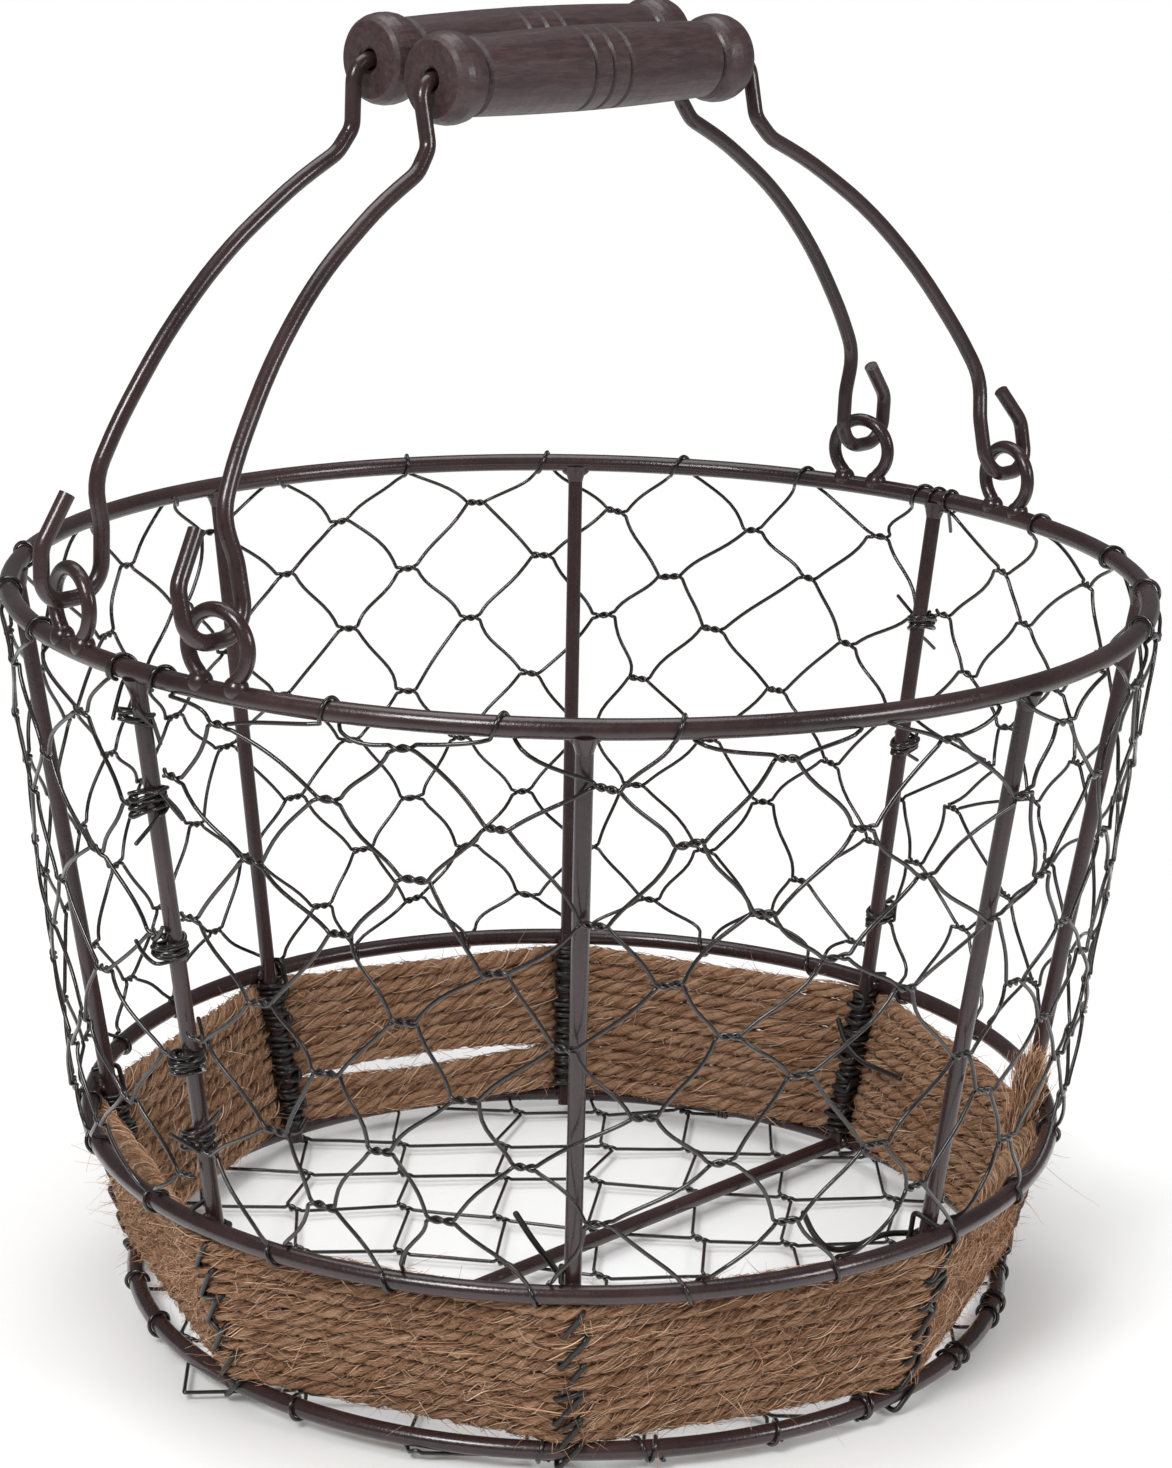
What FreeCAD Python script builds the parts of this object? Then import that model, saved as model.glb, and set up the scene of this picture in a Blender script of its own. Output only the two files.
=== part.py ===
import FreeCAD, Part
import math
import os
import Sketcher
from FreeCAD import Placement, Rotation, Vector

# Wire egg basket with two swinging bail handles.
# Millimetres. +Z is up, X runs along the base crossbar and the handle grips, front is -Y,
# right is +X. The origin is below the middle of the base ring at the lowest point.

os.makedirs("parts", exist_ok=True)
doc = FreeCAD.newDocument("egg_basket")

# ---------------------------------------------------------------- sizes
# alias, value, meaning
SIZES = [
    ("rim_radius", 140.0, "rim ring, centreline radius"),
    ("rim_wire", 4.8, "rim ring wire diameter"),
    ("rim_height", 186.52, "rim ring centreline height"),
    ("mid_radius", 123.1, "middle ring, centreline radius"),
    ("mid_wire", 4.5, "middle ring wire diameter"),
    ("mid_height", 49.12, "middle ring centreline height"),
    ("base_radius", 112.1, "base ring, centreline radius"),
    ("base_wire", 4.5, "base ring wire diameter"),
    ("base_height", 4.72, "base ring centreline height"),
    ("rib_wire", 4.0, "rib wire diameter"),
    ("rib_inset", 4.27, "rib centreline inside the two lower rings"),
    ("rib_foot", 1.9, "rib end below the base ring centreline"),
    ("flare_radius", 3.2, "weld flare radius at the rim"),
    ("flare_length", 4.2, "weld flare length below the rim"),
    ("weld_radius", 2.3, "weld bead radius at the lower rings"),
    ("weld_gap", 0.01, "gap left at a welded face"),
    ("crossbar_wire", 4.0, "base crossbar diameter"),
    ("eyelet_wire", 3.5, "eyelet wire diameter"),
    ("eyelet_loop", 8.4, "eyelet loop, centreline radius"),
    ("eyelet_rise", 10.1, "eyelet loop centre above the rim centreline"),
    ("hinge_rise", 11.5, "bail hinge axis above the rim centreline"),
    ("eyelet_leg", 5.0, "half the spacing of an eyelet's legs"),
    ("eyelet_bend", 2.5, "radius where a leg turns into the loop"),
    ("eyelet_angle", 10.5, "eyelet position each side of the X axis, degrees"),
    ("eyelet_weld", 2.9, "weld bead radius at an eyelet's foot"),
    ("bail_wire", 3.8, "handle bail wire diameter"),
    ("hook_radius", 8.4, "hook bend, centreline radius"),
    ("right_hook_end", 22.0, "height of the right hooks' cut ends above the hinge axis"),
    ("left_hook_end", 24.4, "height of the left hooks' cut ends above the hinge axis"),
    ("front_lean", 12.5, "front bail leaning inwards, degrees"),
    ("back_lean", 1.9, "back bail leaning inwards, degrees"),
    ("leg_span", 56.0, "bail leg beside the grip, from the middle"),
    ("leg_bend", 5.0, "bend from a bail leg into the grip"),
    ("grip_height", 115.8, "grip axis above the hinge axis, along the bail"),
    ("grip_length", 101.6, "grip overall length"),
    ("grip_bore", 5.2, "grip bore diameter"),
    ("grip_mouth", 6.6, "countersink at each end of the bore"),
    ("bead_radius", 10.8, "end bead radius"),
    ("bead_width", 10.4, "end bead width"),
    ("neck_radius", 8.3, "neck beside the bead"),
    ("shoulder_radius", 9.3, "grip body radius beside the neck"),
    ("belly_radius", 10.1, "grip body radius in the middle"),
    ("groove_pitch", 6.0, "spacing of the middle grooves"),
    ("groove_depth", 0.8, "groove depth"),
    ("groove_width", 1.5, "groove width"),
    ("front_grip_shift", -2.0, "front grip slid along its bail"),
    ("back_grip_shift", -1.0, "back grip slid along its bail"),
    ("rope_rows", 10.0, "turns of rope between the lower rings"),
    ("rope_radius", 2.12, "rope radius"),
    ("rope_ring_gap", 0.25, "rope clear of the rings"),
    ("lash_wire", 1.9, "lashing wire diameter"),
    ("lash_half", 3.1, "lashing half width round a rib"),
    ("lash_out", 3.27, "lashing outside the rope and ring centreline"),
    ("lash_in", 7.5, "lashing inside the rope and ring centreline"),
    ("lash_ring", 3.3, "lashing above or below a ring centreline"),
    ("net_wire", 1.0, "netting wire diameter"),
    ("net_gap", 0.05, "netting clear of the rings"),
    ("net_top_gap", 0.8, "netting clear of the weld flares under the rim"),
    ("net_rows", 9.0, "wires of side netting from the middle ring to the rim"),
    ("net_twist", 6.0, "length of a netting twist"),
    ("net_step", 8.13, "half a netting cell round the side, degrees"),
    ("front_net_first", 67.7, "height of the front sheet's first row of twists"),
    ("front_net_rise", 15.7, "spacing of the front sheet's rows"),
    ("front_net_turn", 182.5, "direction of the front sheet's first column, degrees"),
    ("back_net_first", 60.4, "height of the back sheet's first row of twists"),
    ("back_net_rise", 16.0, "spacing of the back sheet's rows"),
    ("back_net_turn", 0.0, "direction of the back sheet's first column, degrees"),
    ("net_edge", 0.7, "sheet edges clear of the line through the joining ribs, degrees"),
    ("floor_pitch_across", 18.0, "spacing of floor netting wires"),
    ("floor_pitch_along", 20.5, "spacing of floor twists along a wire"),
    ("floor_shift_across", 7.0, "floor netting offset along X"),
    ("floor_shift_along", 31.0, "floor netting offset along Y"),
    ("floor_height", 1.92, "floor netting centreline height"),
    ("floor_edge", 113.6, "floor netting end radius, under the base ring"),
    ("tie_wire", 0.9, "netting tie wire diameter"),
    ("tie_turns", 3.5, "turns in each netting tie"),
    ("tie_pitch", 1.25, "pitch of a netting tie"),
]
sheet = doc.addObject("Spreadsheet::Sheet", "Sizes")
for row, (alias, number, note) in enumerate(SIZES, 1):
    sheet.set("A%d" % row, alias)
    sheet.set("B%d" % row, repr(number))
    sheet.set("C%d" % row, note)
    sheet.setAlias("B%d" % row, alias)
doc.recompute()


def size(alias):
    return float(getattr(sheet, alias))


# Ribs, and the rope and lashings that follow them, repeat round Z.
RIB_COUNT = 8
RIB_STEP = 360.0 / RIB_COUNT
FIRST_RIB = -135.0

X_AXIS, Y_AXIS, Z_AXIS = Vector(1, 0, 0), Vector(0, 1, 0), Vector(0, 0, 1)
rim_r, rim_z = size("rim_radius"), size("rim_height")
mid_z, base_z = size("mid_height"), size("base_height")
rib_mid_r = size("mid_radius") - size("rib_inset")
rib_base_r = size("base_radius") - size("rib_inset")
# lean of a rib from upright, above and below the middle ring
upper_lean = math.atan2(rim_r - rib_mid_r, rim_z - mid_z)
lower_lean = math.atan2(rib_mid_r - rib_base_r, mid_z - base_z)


# ---------------------------------------------------------------- helpers
pieces = []


def keep(obj, label):
    # marks an object as a piece to export
    obj.Label = label
    pieces.append(obj)


def keep_shape(label, shape, placement=Placement()):
    obj = doc.addObject("Part::Feature", label)
    obj.Shape = shape
    obj.Placement = placement
    keep(obj, label)


def keep_cut(label, base, tool, placement=Placement()):
    cut = doc.addObject("Part::Cut", label)
    cut.Base = base
    cut.Tool = tool
    cut.Placement = placement
    keep(cut, label)


def compound(name, links):
    group = doc.addObject("Part::Compound", name)
    group.Links = links
    return group


def fused(name, shapes):
    whole = doc.addObject("Part::MultiFuse", name)
    whole.Shapes = shapes
    return whole


def about_z(degrees):
    return Placement(Vector(0, 0, 0), Rotation(Z_AXIS, degrees))


def rib_placement(index):
    return about_z(RIB_STEP * index + FIRST_RIB)


def turned(shape, degrees):
    copy = shape.copy()
    copy.rotate(Vector(0, 0, 0), Z_AXIS, degrees)
    return copy


def origin_item(body, role):
    for item in body.Origin.OriginFeatures:
        if item.Role == role:
            return item
    raise RuntimeError("no origin feature " + role)


def add_sketch(body, name, plane, offset=Placement()):
    sketch = body.newObject("Sketcher::SketchObject", name)
    sketch.AttachmentSupport = (origin_item(body, plane), [""])
    sketch.MapMode = "FlatFace"
    sketch.AttachmentOffset = offset
    doc.recompute()
    return sketch


def add_line(sketch, start, end):
    return sketch.addGeometry(Part.LineSegment(Vector(*start), Vector(*end)), False)


def join(sketch, first, first_end, second, second_end):
    sketch.addConstraint(
        Sketcher.Constraint("Coincident", first, first_end, second, second_end))


def block(sketch, ids):
    for geo in ids:
        sketch.addConstraint(Sketcher.Constraint("Block", geo))
    doc.recompute()


def place_point(sketch, geo, end, x_text, y_text):
    # fixes one sketch point at two expressions, measured from the origin
    for kind, text in (("DistanceX", x_text), ("DistanceY", y_text)):
        index = sketch.addConstraint(Sketcher.Constraint(kind, -1, 1, geo, end, 1.0))
        sketch.setExpression("Constraints[%d]" % index, text)


def round_section(body, name, offset, wire):
    # circle of a wire's diameter, on the XY plane moved by an offset
    section = add_sketch(body, name, "XY_Plane", offset)
    radius = size(wire) / 2
    circle = section.addGeometry(Part.Circle(Vector(0, 0, 0), Z_AXIS, radius), False)
    join(section, circle, 3, -1, 1)
    index = section.addConstraint(Sketcher.Constraint("Radius", circle, radius))
    section.setExpression("Constraints[%d]" % index, "Sizes.%s / 2" % wire)
    doc.recompute()
    return section


def add_pipe(body, name, section, path, edge_count, transition="Transformed"):
    pipe = body.newObject("PartDesign::AdditivePipe", name)
    pipe.Profile = section
    pipe.Spine = (path, ["Edge%d" % (i + 1) for i in range(edge_count)])
    pipe.Transition = transition
    doc.recompute()


def weld_bead(name, radius, **place):
    # sphere whose centre is given as one expression per axis
    bead = doc.addObject("Part::Sphere", name)
    bead.setExpression("Radius", "Sizes." + radius)
    for axis, text in place.items():
        bead.setExpression("Placement.Base." + axis, text)
    return bead


def filleted(points, radius):
    # wire of straight lines with arcs at the corners; radius is one value or one per point
    pts = [Vector(*point) for point in points]
    edges = []
    start = pts[0]
    for i in range(1, len(pts) - 1):
        back_way = pts[i - 1] - pts[i]
        next_way = pts[i + 1] - pts[i]
        # an arc may use just under half of the shorter side
        limit = 0.48 * min(back_way.Length, next_way.Length)
        back_way.normalize()
        next_way.normalize()
        corner = back_way.getAngle(next_way)
        if math.pi - corner < 0.002:
            continue
        bend = radius[i] if isinstance(radius, list) else radius
        trim = bend / math.tan(corner / 2)
        if trim > limit:
            trim = limit
            bend = trim * math.tan(corner / 2)
        arc_start = pts[i] + back_way * trim
        arc_end = pts[i] + next_way * trim
        inward = back_way + next_way
        inward.normalize()
        centre = pts[i] + inward * (bend / math.sin(corner / 2))
        outward = pts[i] - centre
        outward.normalize()
        if (arc_start - start).Length > 1e-5:
            edges.append(Part.LineSegment(start, arc_start).toShape())
        edges.append(Part.Arc(arc_start, centre + outward * bend, arc_end).toShape())
        start = arc_end
    if (pts[-1] - start).Length > 1e-5:
        edges.append(Part.LineSegment(start, pts[-1]).toShape())
    return Part.Wire(edges)


def wire_along(path, radius):
    # round wire swept along a smooth path
    first = path.OrderedEdges[0]
    start = first.valueAt(first.FirstParameter)
    way = first.tangentAt(first.FirstParameter)
    ring = Part.Wire([Part.makeCircle(radius, start, way)])
    tube = path.makePipeShell([ring], True, False)
    if tube.ShapeType != "Solid":
        tube = Part.Solid(tube if tube.ShapeType == "Shell" else tube.Shells[0])
    if tube.Volume < 0:
        tube.reverse()
    return tube


# ---------------------------------------------------------------- three rings
def add_ring(name, prefix, growth=""):
    ring = doc.addObject("Part::Torus", name)
    ring.setExpression("Radius1", "Sizes.%s_radius" % prefix)
    ring.setExpression("Radius2", "Sizes.%s_wire / 2%s" % (prefix, growth))
    ring.setExpression("Placement.Base.z", "Sizes.%s_height" % prefix)
    return ring


ring_copes = []
for ring_name, prefix in (("rim", "rim"), ("middle", "mid"), ("base", "base")):
    keep(add_ring(ring_name + "_ring", prefix), ring_name + "_ring")
    # the same ring grown by the weld gap, used to cope the pieces welded to it
    ring_copes.append(add_ring(ring_name + "_cope", prefix, " + Sizes.weld_gap"))
rim_cope = ring_copes[0]
all_ring_copes = compound("ring_cope", ring_copes)


# ---------------------------------------------------------------- ribs
FLARE_TOP = 1.2         # flare's wide end below the rim centreline, along the rib


def rib_body():
    # bent rib at +X, from the rim through the middle ring to just below the base ring
    body = doc.addObject("PartDesign::Body", "rib_wire_body")
    path = add_sketch(body, "rib_path", "XZ_Plane")
    foot_in = math.sin(lower_lean)
    foot_down = math.cos(lower_lean)
    foot = size("rib_foot")
    top = (rim_r, rim_z, 0)
    knee = (rib_mid_r, mid_z, 0)
    end = (rib_base_r - foot * foot_in, base_z - foot * foot_down, 0)
    upper = add_line(path, top, knee)
    lower = add_line(path, knee, end)
    join(path, upper, 2, lower, 1)
    place_point(path, upper, 1, "Sizes.rim_radius", "Sizes.rim_height")
    place_point(path, lower, 1, "Sizes.mid_radius - Sizes.rib_inset", "Sizes.mid_height")
    place_point(path, lower, 2,
                "Sizes.base_radius - Sizes.rib_inset - Sizes.rib_foot * %.5f" % foot_in,
                "Sizes.base_height - Sizes.rib_foot * %.5f" % foot_down)
    offset = Placement(Vector(rim_r, 0, rim_z), Rotation(Y_AXIS, math.degrees(upper_lean)))
    section = round_section(body, "rib_section", offset, "rib_wire")
    add_pipe(body, "rib_pipe", section, path, 2, "Right corner")
    return body


def rib_flare():
    # cone widening up the rib towards the rim
    flare = doc.addObject("Part::Cone", "rib_flare")
    flare.setExpression("Radius1", "Sizes.rib_wire / 2")
    flare.setExpression("Radius2", "Sizes.flare_radius")
    flare.setExpression("Height", "Sizes.flare_length")
    below = size("flare_length") + FLARE_TOP
    narrow_end = Vector(rim_r - math.sin(upper_lean) * below, 0,
                        rim_z - math.cos(upper_lean) * below)
    flare.Placement = Placement(narrow_end, Rotation(Y_AXIS, math.degrees(upper_lean)))
    return flare


def make_ribs():
    parts = [rib_body(), rib_flare()]
    for prefix in ("mid", "base"):
        parts.append(weld_bead(prefix + "_weld", "weld_radius",
                               x="Sizes.%s_radius - Sizes.rib_inset / 2" % prefix,
                               z="Sizes.%s_height" % prefix))
    whole = fused("rib_whole", parts)
    for k in range(RIB_COUNT):
        keep_cut("rib_%d" % (k + 1), whole, all_ring_copes, rib_placement(k))


make_ribs()


# ---------------------------------------------------------------- crossbar
COPE_LENGTH = 30.0      # cutting cylinder, centred where a rib meets the bar


def make_crossbar():
    bar = doc.addObject("Part::Cylinder", "crossbar_stock")
    bar.setExpression("Radius", "Sizes.crossbar_wire / 2")
    bar.setExpression("Height", "2 * (Sizes.base_radius - Sizes.rib_inset)")
    bar.Placement = Placement(Vector(0, 0, 0), Rotation(Y_AXIS, 90))
    bar.setExpression("Placement.Base.x", "-(Sizes.base_radius - Sizes.rib_inset)")
    bar.setExpression("Placement.Base.z", "Sizes.base_height")
    copes = []
    half = COPE_LENGTH / 2
    for name, side in (("right", 1), ("left", -1)):
        cope = doc.addObject("Part::Cylinder", "crossbar_cope_" + name)
        cope.setExpression("Radius", "Sizes.rib_wire / 2 + Sizes.weld_gap")
        cope.Height = COPE_LENGTH
        low_end = Vector(side * (rib_base_r - half * math.sin(lower_lean)), 0,
                         base_z - half * math.cos(lower_lean))
        cope.Placement = Placement(low_end, Rotation(Y_AXIS, side * math.degrees(lower_lean)))
        copes.append(cope)
    keep_cut("base_crossbar", bar, compound("crossbar_copes", copes))


make_crossbar()


# ---------------------------------------------------------------- eyelets
EYELET_FOOT = 0.4       # leg ends above the rim centreline


def eyelet_body():
    # two legs and an open loop above the rim at +X, in a plane across X
    loop, leg, bend = size("eyelet_loop"), size("eyelet_leg"), size("eyelet_bend")
    loop_z = rim_z + size("eyelet_rise")
    foot_z = rim_z + EYELET_FOOT
    # the bends touch the loop from outside, their centres level with the leg tops
    bend_y = leg + bend
    drop = math.sqrt((loop + bend) ** 2 - bend_y ** 2)
    turn = math.atan2(drop, bend_y)
    bend_z = loop_z - drop

    body = doc.addObject("PartDesign::Body", "eyelet_body")
    path = add_sketch(body, "eyelet_path", "YZ_Plane", Placement(Vector(0, 0, rim_r), Rotation()))

    def add_arc(y, z, radius, start, end):
        circle = Part.Circle(Vector(y, z, 0), Z_AXIS, radius)
        return path.addGeometry(Part.ArcOfCircle(circle, start, end), False)

    front_leg = add_line(path, (-leg, foot_z, 0), (-leg, bend_z, 0))
    front_bend = add_arc(-bend_y, bend_z, bend, 0, turn)
    ring = add_arc(0, loop_z, loop, 2 * math.pi - turn, 3 * math.pi + turn)
    back_bend = add_arc(bend_y, bend_z, bend, math.pi - turn, math.pi)
    back_leg = add_line(path, (leg, bend_z, 0), (leg, foot_z, 0))
    join(path, front_leg, 2, front_bend, 1)
    join(path, front_bend, 2, ring, 2)
    join(path, ring, 1, back_bend, 1)
    join(path, back_bend, 2, back_leg, 1)
    block(path, (front_leg, front_bend, ring, back_bend, back_leg))
    offset = Placement(Vector(rim_r, -leg, foot_z), Rotation())
    section = round_section(body, "eyelet_section", offset, "eyelet_wire")
    add_pipe(body, "eyelet_pipe", section, path, 5)
    return body


def make_eyelets():
    parts = [eyelet_body()]
    for name, sign in (("eyelet_weld_front", "-"), ("eyelet_weld_back", "")):
        parts.append(weld_bead(name, "eyelet_weld", x="Sizes.rim_radius",
                               y=sign + "Sizes.eyelet_leg", z="Sizes.rim_height + 1.6"))
    whole = fused("eyelet_whole", parts)
    spread = size("eyelet_angle")
    for label, angle in (("eyelet_left_back", 180 - spread),
                         ("eyelet_left_front", 180 + spread),
                         ("eyelet_right_back", spread),
                         ("eyelet_right_front", -spread)):
        keep_cut(label, whole, rim_cope, about_z(angle))


make_eyelets()

# ---------------------------------------------------------------- bails
RIGHT_END_OUT = 1.8     # hook's cut end outside the hinge, along X
LEFT_END_OUT = 1.3

hinge_angle = math.radians(size("eyelet_angle"))
hinge_x, hinge_y = rim_r * math.cos(hinge_angle), rim_r * math.sin(hinge_angle)
hinge_z = rim_z + size("hinge_rise")
front_bail = Placement(Vector(0, -hinge_y, hinge_z), Rotation(X_AXIS, -size("front_lean")))
back_bail = Placement(Vector(0, hinge_y, hinge_z), Rotation(X_AXIS, size("back_lean")))


def make_bails():
    hook = size("hook_radius")
    # distance from the middle, height above the hinge axis, bend radius;
    # from the hook's outer side, under the hinge and up to the grip
    half = [
        (hinge_x + hook + 0.2, 13.0, 6.0),
        (hinge_x + hook, 0.0, hook - 0.2),
        (hinge_x - hook, 0.0, hook - 0.2),
        (hinge_x - hook, 16.0, 14.0),
        (hinge_x - hook + 2.2, 26.5, 16.0),
        (125.0, 38.5, 118.0),
        (111.6, 57.3, 134.0),
        (94.5, 74.6, 117.0),
        (73.5, 88.6, 130.0),
        (60.5, 95.0, 9.0),
        (size("leg_span"), 100.5, 5.0),
        (size("leg_span"), size("grip_height"), size("leg_bend")),
    ]
    # the cut ends of the hooks differ a little in length
    points = [(hinge_x + RIGHT_END_OUT, 0.0, size("right_hook_end"))]
    points += [(x, 0.0, z) for x, z, bend in half]
    points += [(-x, 0.0, z) for x, z, bend in reversed(half)]
    points.append((-hinge_x - LEFT_END_OUT, 0.0, size("left_hook_end")))
    bends = [bend for x, z, bend in half]
    # the two cut ends have no bend
    path = filleted(points, [0.0] + bends + bends[::-1] + [0.0])
    bail = wire_along(path, size("bail_wire") / 2)
    keep_shape("bail_front", bail, front_bail)
    keep_shape("bail_back", bail, back_bail)


make_bails()


# ---------------------------------------------------------------- grips
BEAD_STEPS = 9
BEAD_INSET = 0.2        # bead centre moved in from half its width
BEAD_ROOT = 0.6         # start of the bead's curve below the neck radius
SHOULDER_INSET = 1.6    # shoulder inside the bead
NECK_INSET = 0.4        # neck inside the bead


def grip_outline():
    # right half from the middle outwards, (distance along, radius)
    end = size("grip_length") / 2
    belly, neck = size("belly_radius"), size("neck_radius")
    pitch, half_groove = size("groove_pitch"), size("groove_width") / 2
    groove_floor = belly - size("groove_depth")
    bead_width = size("bead_width")
    bore, mouth = size("grip_bore") / 2, size("grip_mouth") / 2

    # half the middle groove, then a whole one
    points = [
        (0.0, groove_floor),
        (half_groove, belly),
        (pitch - half_groove, belly - 0.02),
        (pitch, groove_floor),
        (pitch + half_groove, belly - 0.05),
    ]
    # body tapering to the shoulder
    taper_start, taper_radius = points[-1]
    taper_length = end - bead_width - SHOULDER_INSET - taper_start
    taper_fall = taper_radius - size("shoulder_radius")
    for part in (0.25, 0.5, 0.75, 1.0):
        points.append((taper_start + part * taper_length,
                       taper_radius - taper_fall * part ** 1.6))
    points.append((end - bead_width - NECK_INSET, neck))
    # end bead
    bead_centre = end - bead_width / 2 - BEAD_INSET
    root = neck - BEAD_ROOT
    for i in range(1, BEAD_STEPS):
        angle = math.pi * i / BEAD_STEPS
        points.append((bead_centre - bead_width / 2 * math.cos(angle),
                       root + (size("bead_radius") - root) * math.sin(angle) ** 0.8))
    # flat end and the countersunk bore
    points += [(end, neck - 2.0), (end, mouth), (end - (mouth - bore), bore)]
    return points


def make_grip(label, bail, shift):
    outline = grip_outline()
    profile = outline + [(-x, radius) for x, radius in reversed(outline[1:])]
    body = doc.addObject("PartDesign::Body", label)
    sketch = add_sketch(body, label + "_outline", "XZ_Plane")
    ids = [add_line(sketch, start + (0,), end + (0,))
           for start, end in zip(profile, profile[1:] + profile[:1])]
    for i in range(len(ids)):
        join(sketch, ids[i - 1], 2, ids[i], 1)
    block(sketch, ids)
    spin = body.newObject("PartDesign::Revolution", label + "_turning")
    spin.Profile = sketch
    spin.ReferenceAxis = (origin_item(body, "X_Axis"), [""])
    spin.Angle = 360
    doc.recompute()
    on_bail = Placement(Vector(size(shift), 0, size("grip_height")), Rotation())
    body.Placement = bail.multiply(on_bail)
    keep(body, label)


make_grip("grip_front", front_bail, "front_grip_shift")
make_grip("grip_back", back_bail, "back_grip_shift")

# ---------------------------------------------------------------- rope band
SEAM = 0.15             # degrees left open at each end of a rope run
HOLE_GAP = 0.12         # hole in the rope clear of the lashing wire
HOLE_REACH = 6.0        # hole ends each side of the rope's centre surface

# Places on the band are measured on the cone through both lower rings:
# "out" square to it, "up" along it from the base ring, "side" along +Y.
band_length = math.hypot(rib_mid_r - rib_base_r, mid_z - base_z)
rope_rows = int(round(size("rope_rows")))
rope_r = size("rope_radius")
rope_bottom = size("base_wire") / 2 + size("rope_ring_gap")
rope_top = band_length - size("mid_wire") / 2 - size("rope_ring_gap")
rope_pitch = (rope_top - rope_bottom - 2 * rope_r) / (rope_rows - 1)
rope_centres = [rope_bottom + rope_r + i * rope_pitch for i in range(rope_rows)]

# levels where the lashing crosses: both sides of the base ring, between
# every second pair of rope rows, and below the middle ring
lash_r = size("lash_wire") / 2
lash_half = size("lash_half")
lash_ring = size("lash_ring")
lash_levels = [-lash_ring, lash_ring]
lash_levels += [(rope_centres[i] + rope_centres[i + 1]) / 2 for i in range(1, rope_rows - 1, 2)]
lash_levels.append(band_length - lash_ring)


def on_band(side, out, up):
    return Vector(
        size("base_radius") + out * math.cos(lower_lean) + up * math.sin(lower_lean),
        side,
        base_z - out * math.sin(lower_lean) + up * math.cos(lower_lean))


def rope_section():
    # all rows as one face: arcs up the outer side, then down the inner side
    waist = math.sqrt(rope_r ** 2 - (rope_pitch / 2) ** 2)
    edges = []
    for facing, rows in ((1, range(rope_rows)), (-1, reversed(range(rope_rows)))):
        for i in rows:
            up = rope_centres[i]
            low = high = None
            if i == 0:
                low = on_band(0, 0, up - rope_r)
            else:
                low = on_band(0, facing * waist, up - rope_pitch / 2)
            if i == rope_rows - 1:
                high = on_band(0, 0, up + rope_r)
            else:
                high = on_band(0, facing * waist, up + rope_pitch / 2)
            start, end = (low, high) if facing == 1 else (high, low)
            edges.append(Part.Arc(start, on_band(0, facing * rope_r, up), end).toShape())
    return Part.Face(Part.Wire(edges))


def lashing_holes():
    # holes beside the rib at +X and the next rib round
    holes = []
    for up in lash_levels[1:]:
        for side in (-lash_half, lash_half):
            start = on_band(side, -HOLE_REACH, up)
            way = on_band(side, HOLE_REACH, up) - start
            holes.append(Part.makeCylinder(lash_r + HOLE_GAP, way.Length, start, way))
    return holes + [turned(hole, RIB_STEP) for hole in holes]


def make_rope():
    # one run from rib to rib: half a corner turned about the corner's own
    # upright axis, a straight, half a corner
    face = rope_section()
    corner = Vector(rib_base_r, 0, 0)
    half_turn = RIB_STEP / 2
    start = face.copy()
    start.rotate(corner, Z_AXIS, SEAM)
    start = start.revolve(corner, Z_AXIS, half_turn - SEAM)
    bent = face.copy()
    bent.rotate(corner, Z_AXIS, half_turn)
    heading = math.radians(half_turn + 90)
    run_length = 2 * rib_base_r * math.sin(math.radians(half_turn))
    run_way = Vector(math.cos(heading), math.sin(heading), 0) * run_length
    middle = bent.extrude(run_way)
    far = bent.copy()
    far.translate(run_way)
    end = far.revolve(corner + run_way, Z_AXIS, half_turn - SEAM)
    run = start.fuse([middle, end]).removeSplitter().cut(Part.makeCompound(lashing_holes()))
    runs = [turned(run.Solids[0], RIB_STEP * k) for k in range(RIB_COUNT)]
    keep_shape("jute_rope", Part.makeCompound(runs))


make_rope()


# ---------------------------------------------------------------- lashings
LASH_BEND = 1.3
LASH_TAIL = 3.0         # lower end's reach outwards from the lashing's inner side
LASH_TOP_OUT = -0.5     # upper end, just inside the middle ring centreline


def make_lashings():
    outer, inner = size("lash_out"), -size("lash_in")
    above_ring = band_length + lash_ring
    points = [on_band(-lash_half, inner + LASH_TAIL, lash_levels[0]),
              on_band(-lash_half, outer, lash_levels[0])]
    for up in lash_levels[1:]:
        points.append(on_band(lash_half, outer, up))
        points.append(on_band(lash_half, inner, up))
        points.append(on_band(-lash_half, inner, up))
        if up < lash_levels[-1]:
            points.append(on_band(-lash_half, outer, up))
    points.append(on_band(-lash_half, inner, above_ring))
    points.append(on_band(-lash_half, LASH_TOP_OUT, above_ring))
    lashing = wire_along(filleted(points, LASH_BEND), lash_r)
    for k in range(RIB_COUNT):
        keep_shape("lashing_%d" % (k + 1), lashing, rib_placement(k))


make_lashings()

# ---------------------------------------------------------------- side netting
NET_BEND = 2.0
NET_MARGIN = 2.9        # degrees kept free of twists at a sheet's edges

net_r = size("net_wire") / 2
twist_offset = net_r + 0.06     # wire centreline from the middle of a twist
net_low_z, net_high_z = mid_z + 0.4, rim_z - 0.6
net_low_r = size("mid_radius") + size("mid_wire") / 2 + net_r + size("net_gap")
net_high_r = rim_r + size("rim_wire") / 2 + net_r + size("net_top_gap")


def net_radius(z):
    return net_low_r + (net_high_r - net_low_r) * (z - net_low_z) / (net_high_z - net_low_z)


def net_point(degrees, z):
    angle = math.radians(degrees)
    return (net_radius(z) * math.cos(angle), net_radius(z) * math.sin(angle), z)


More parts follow.
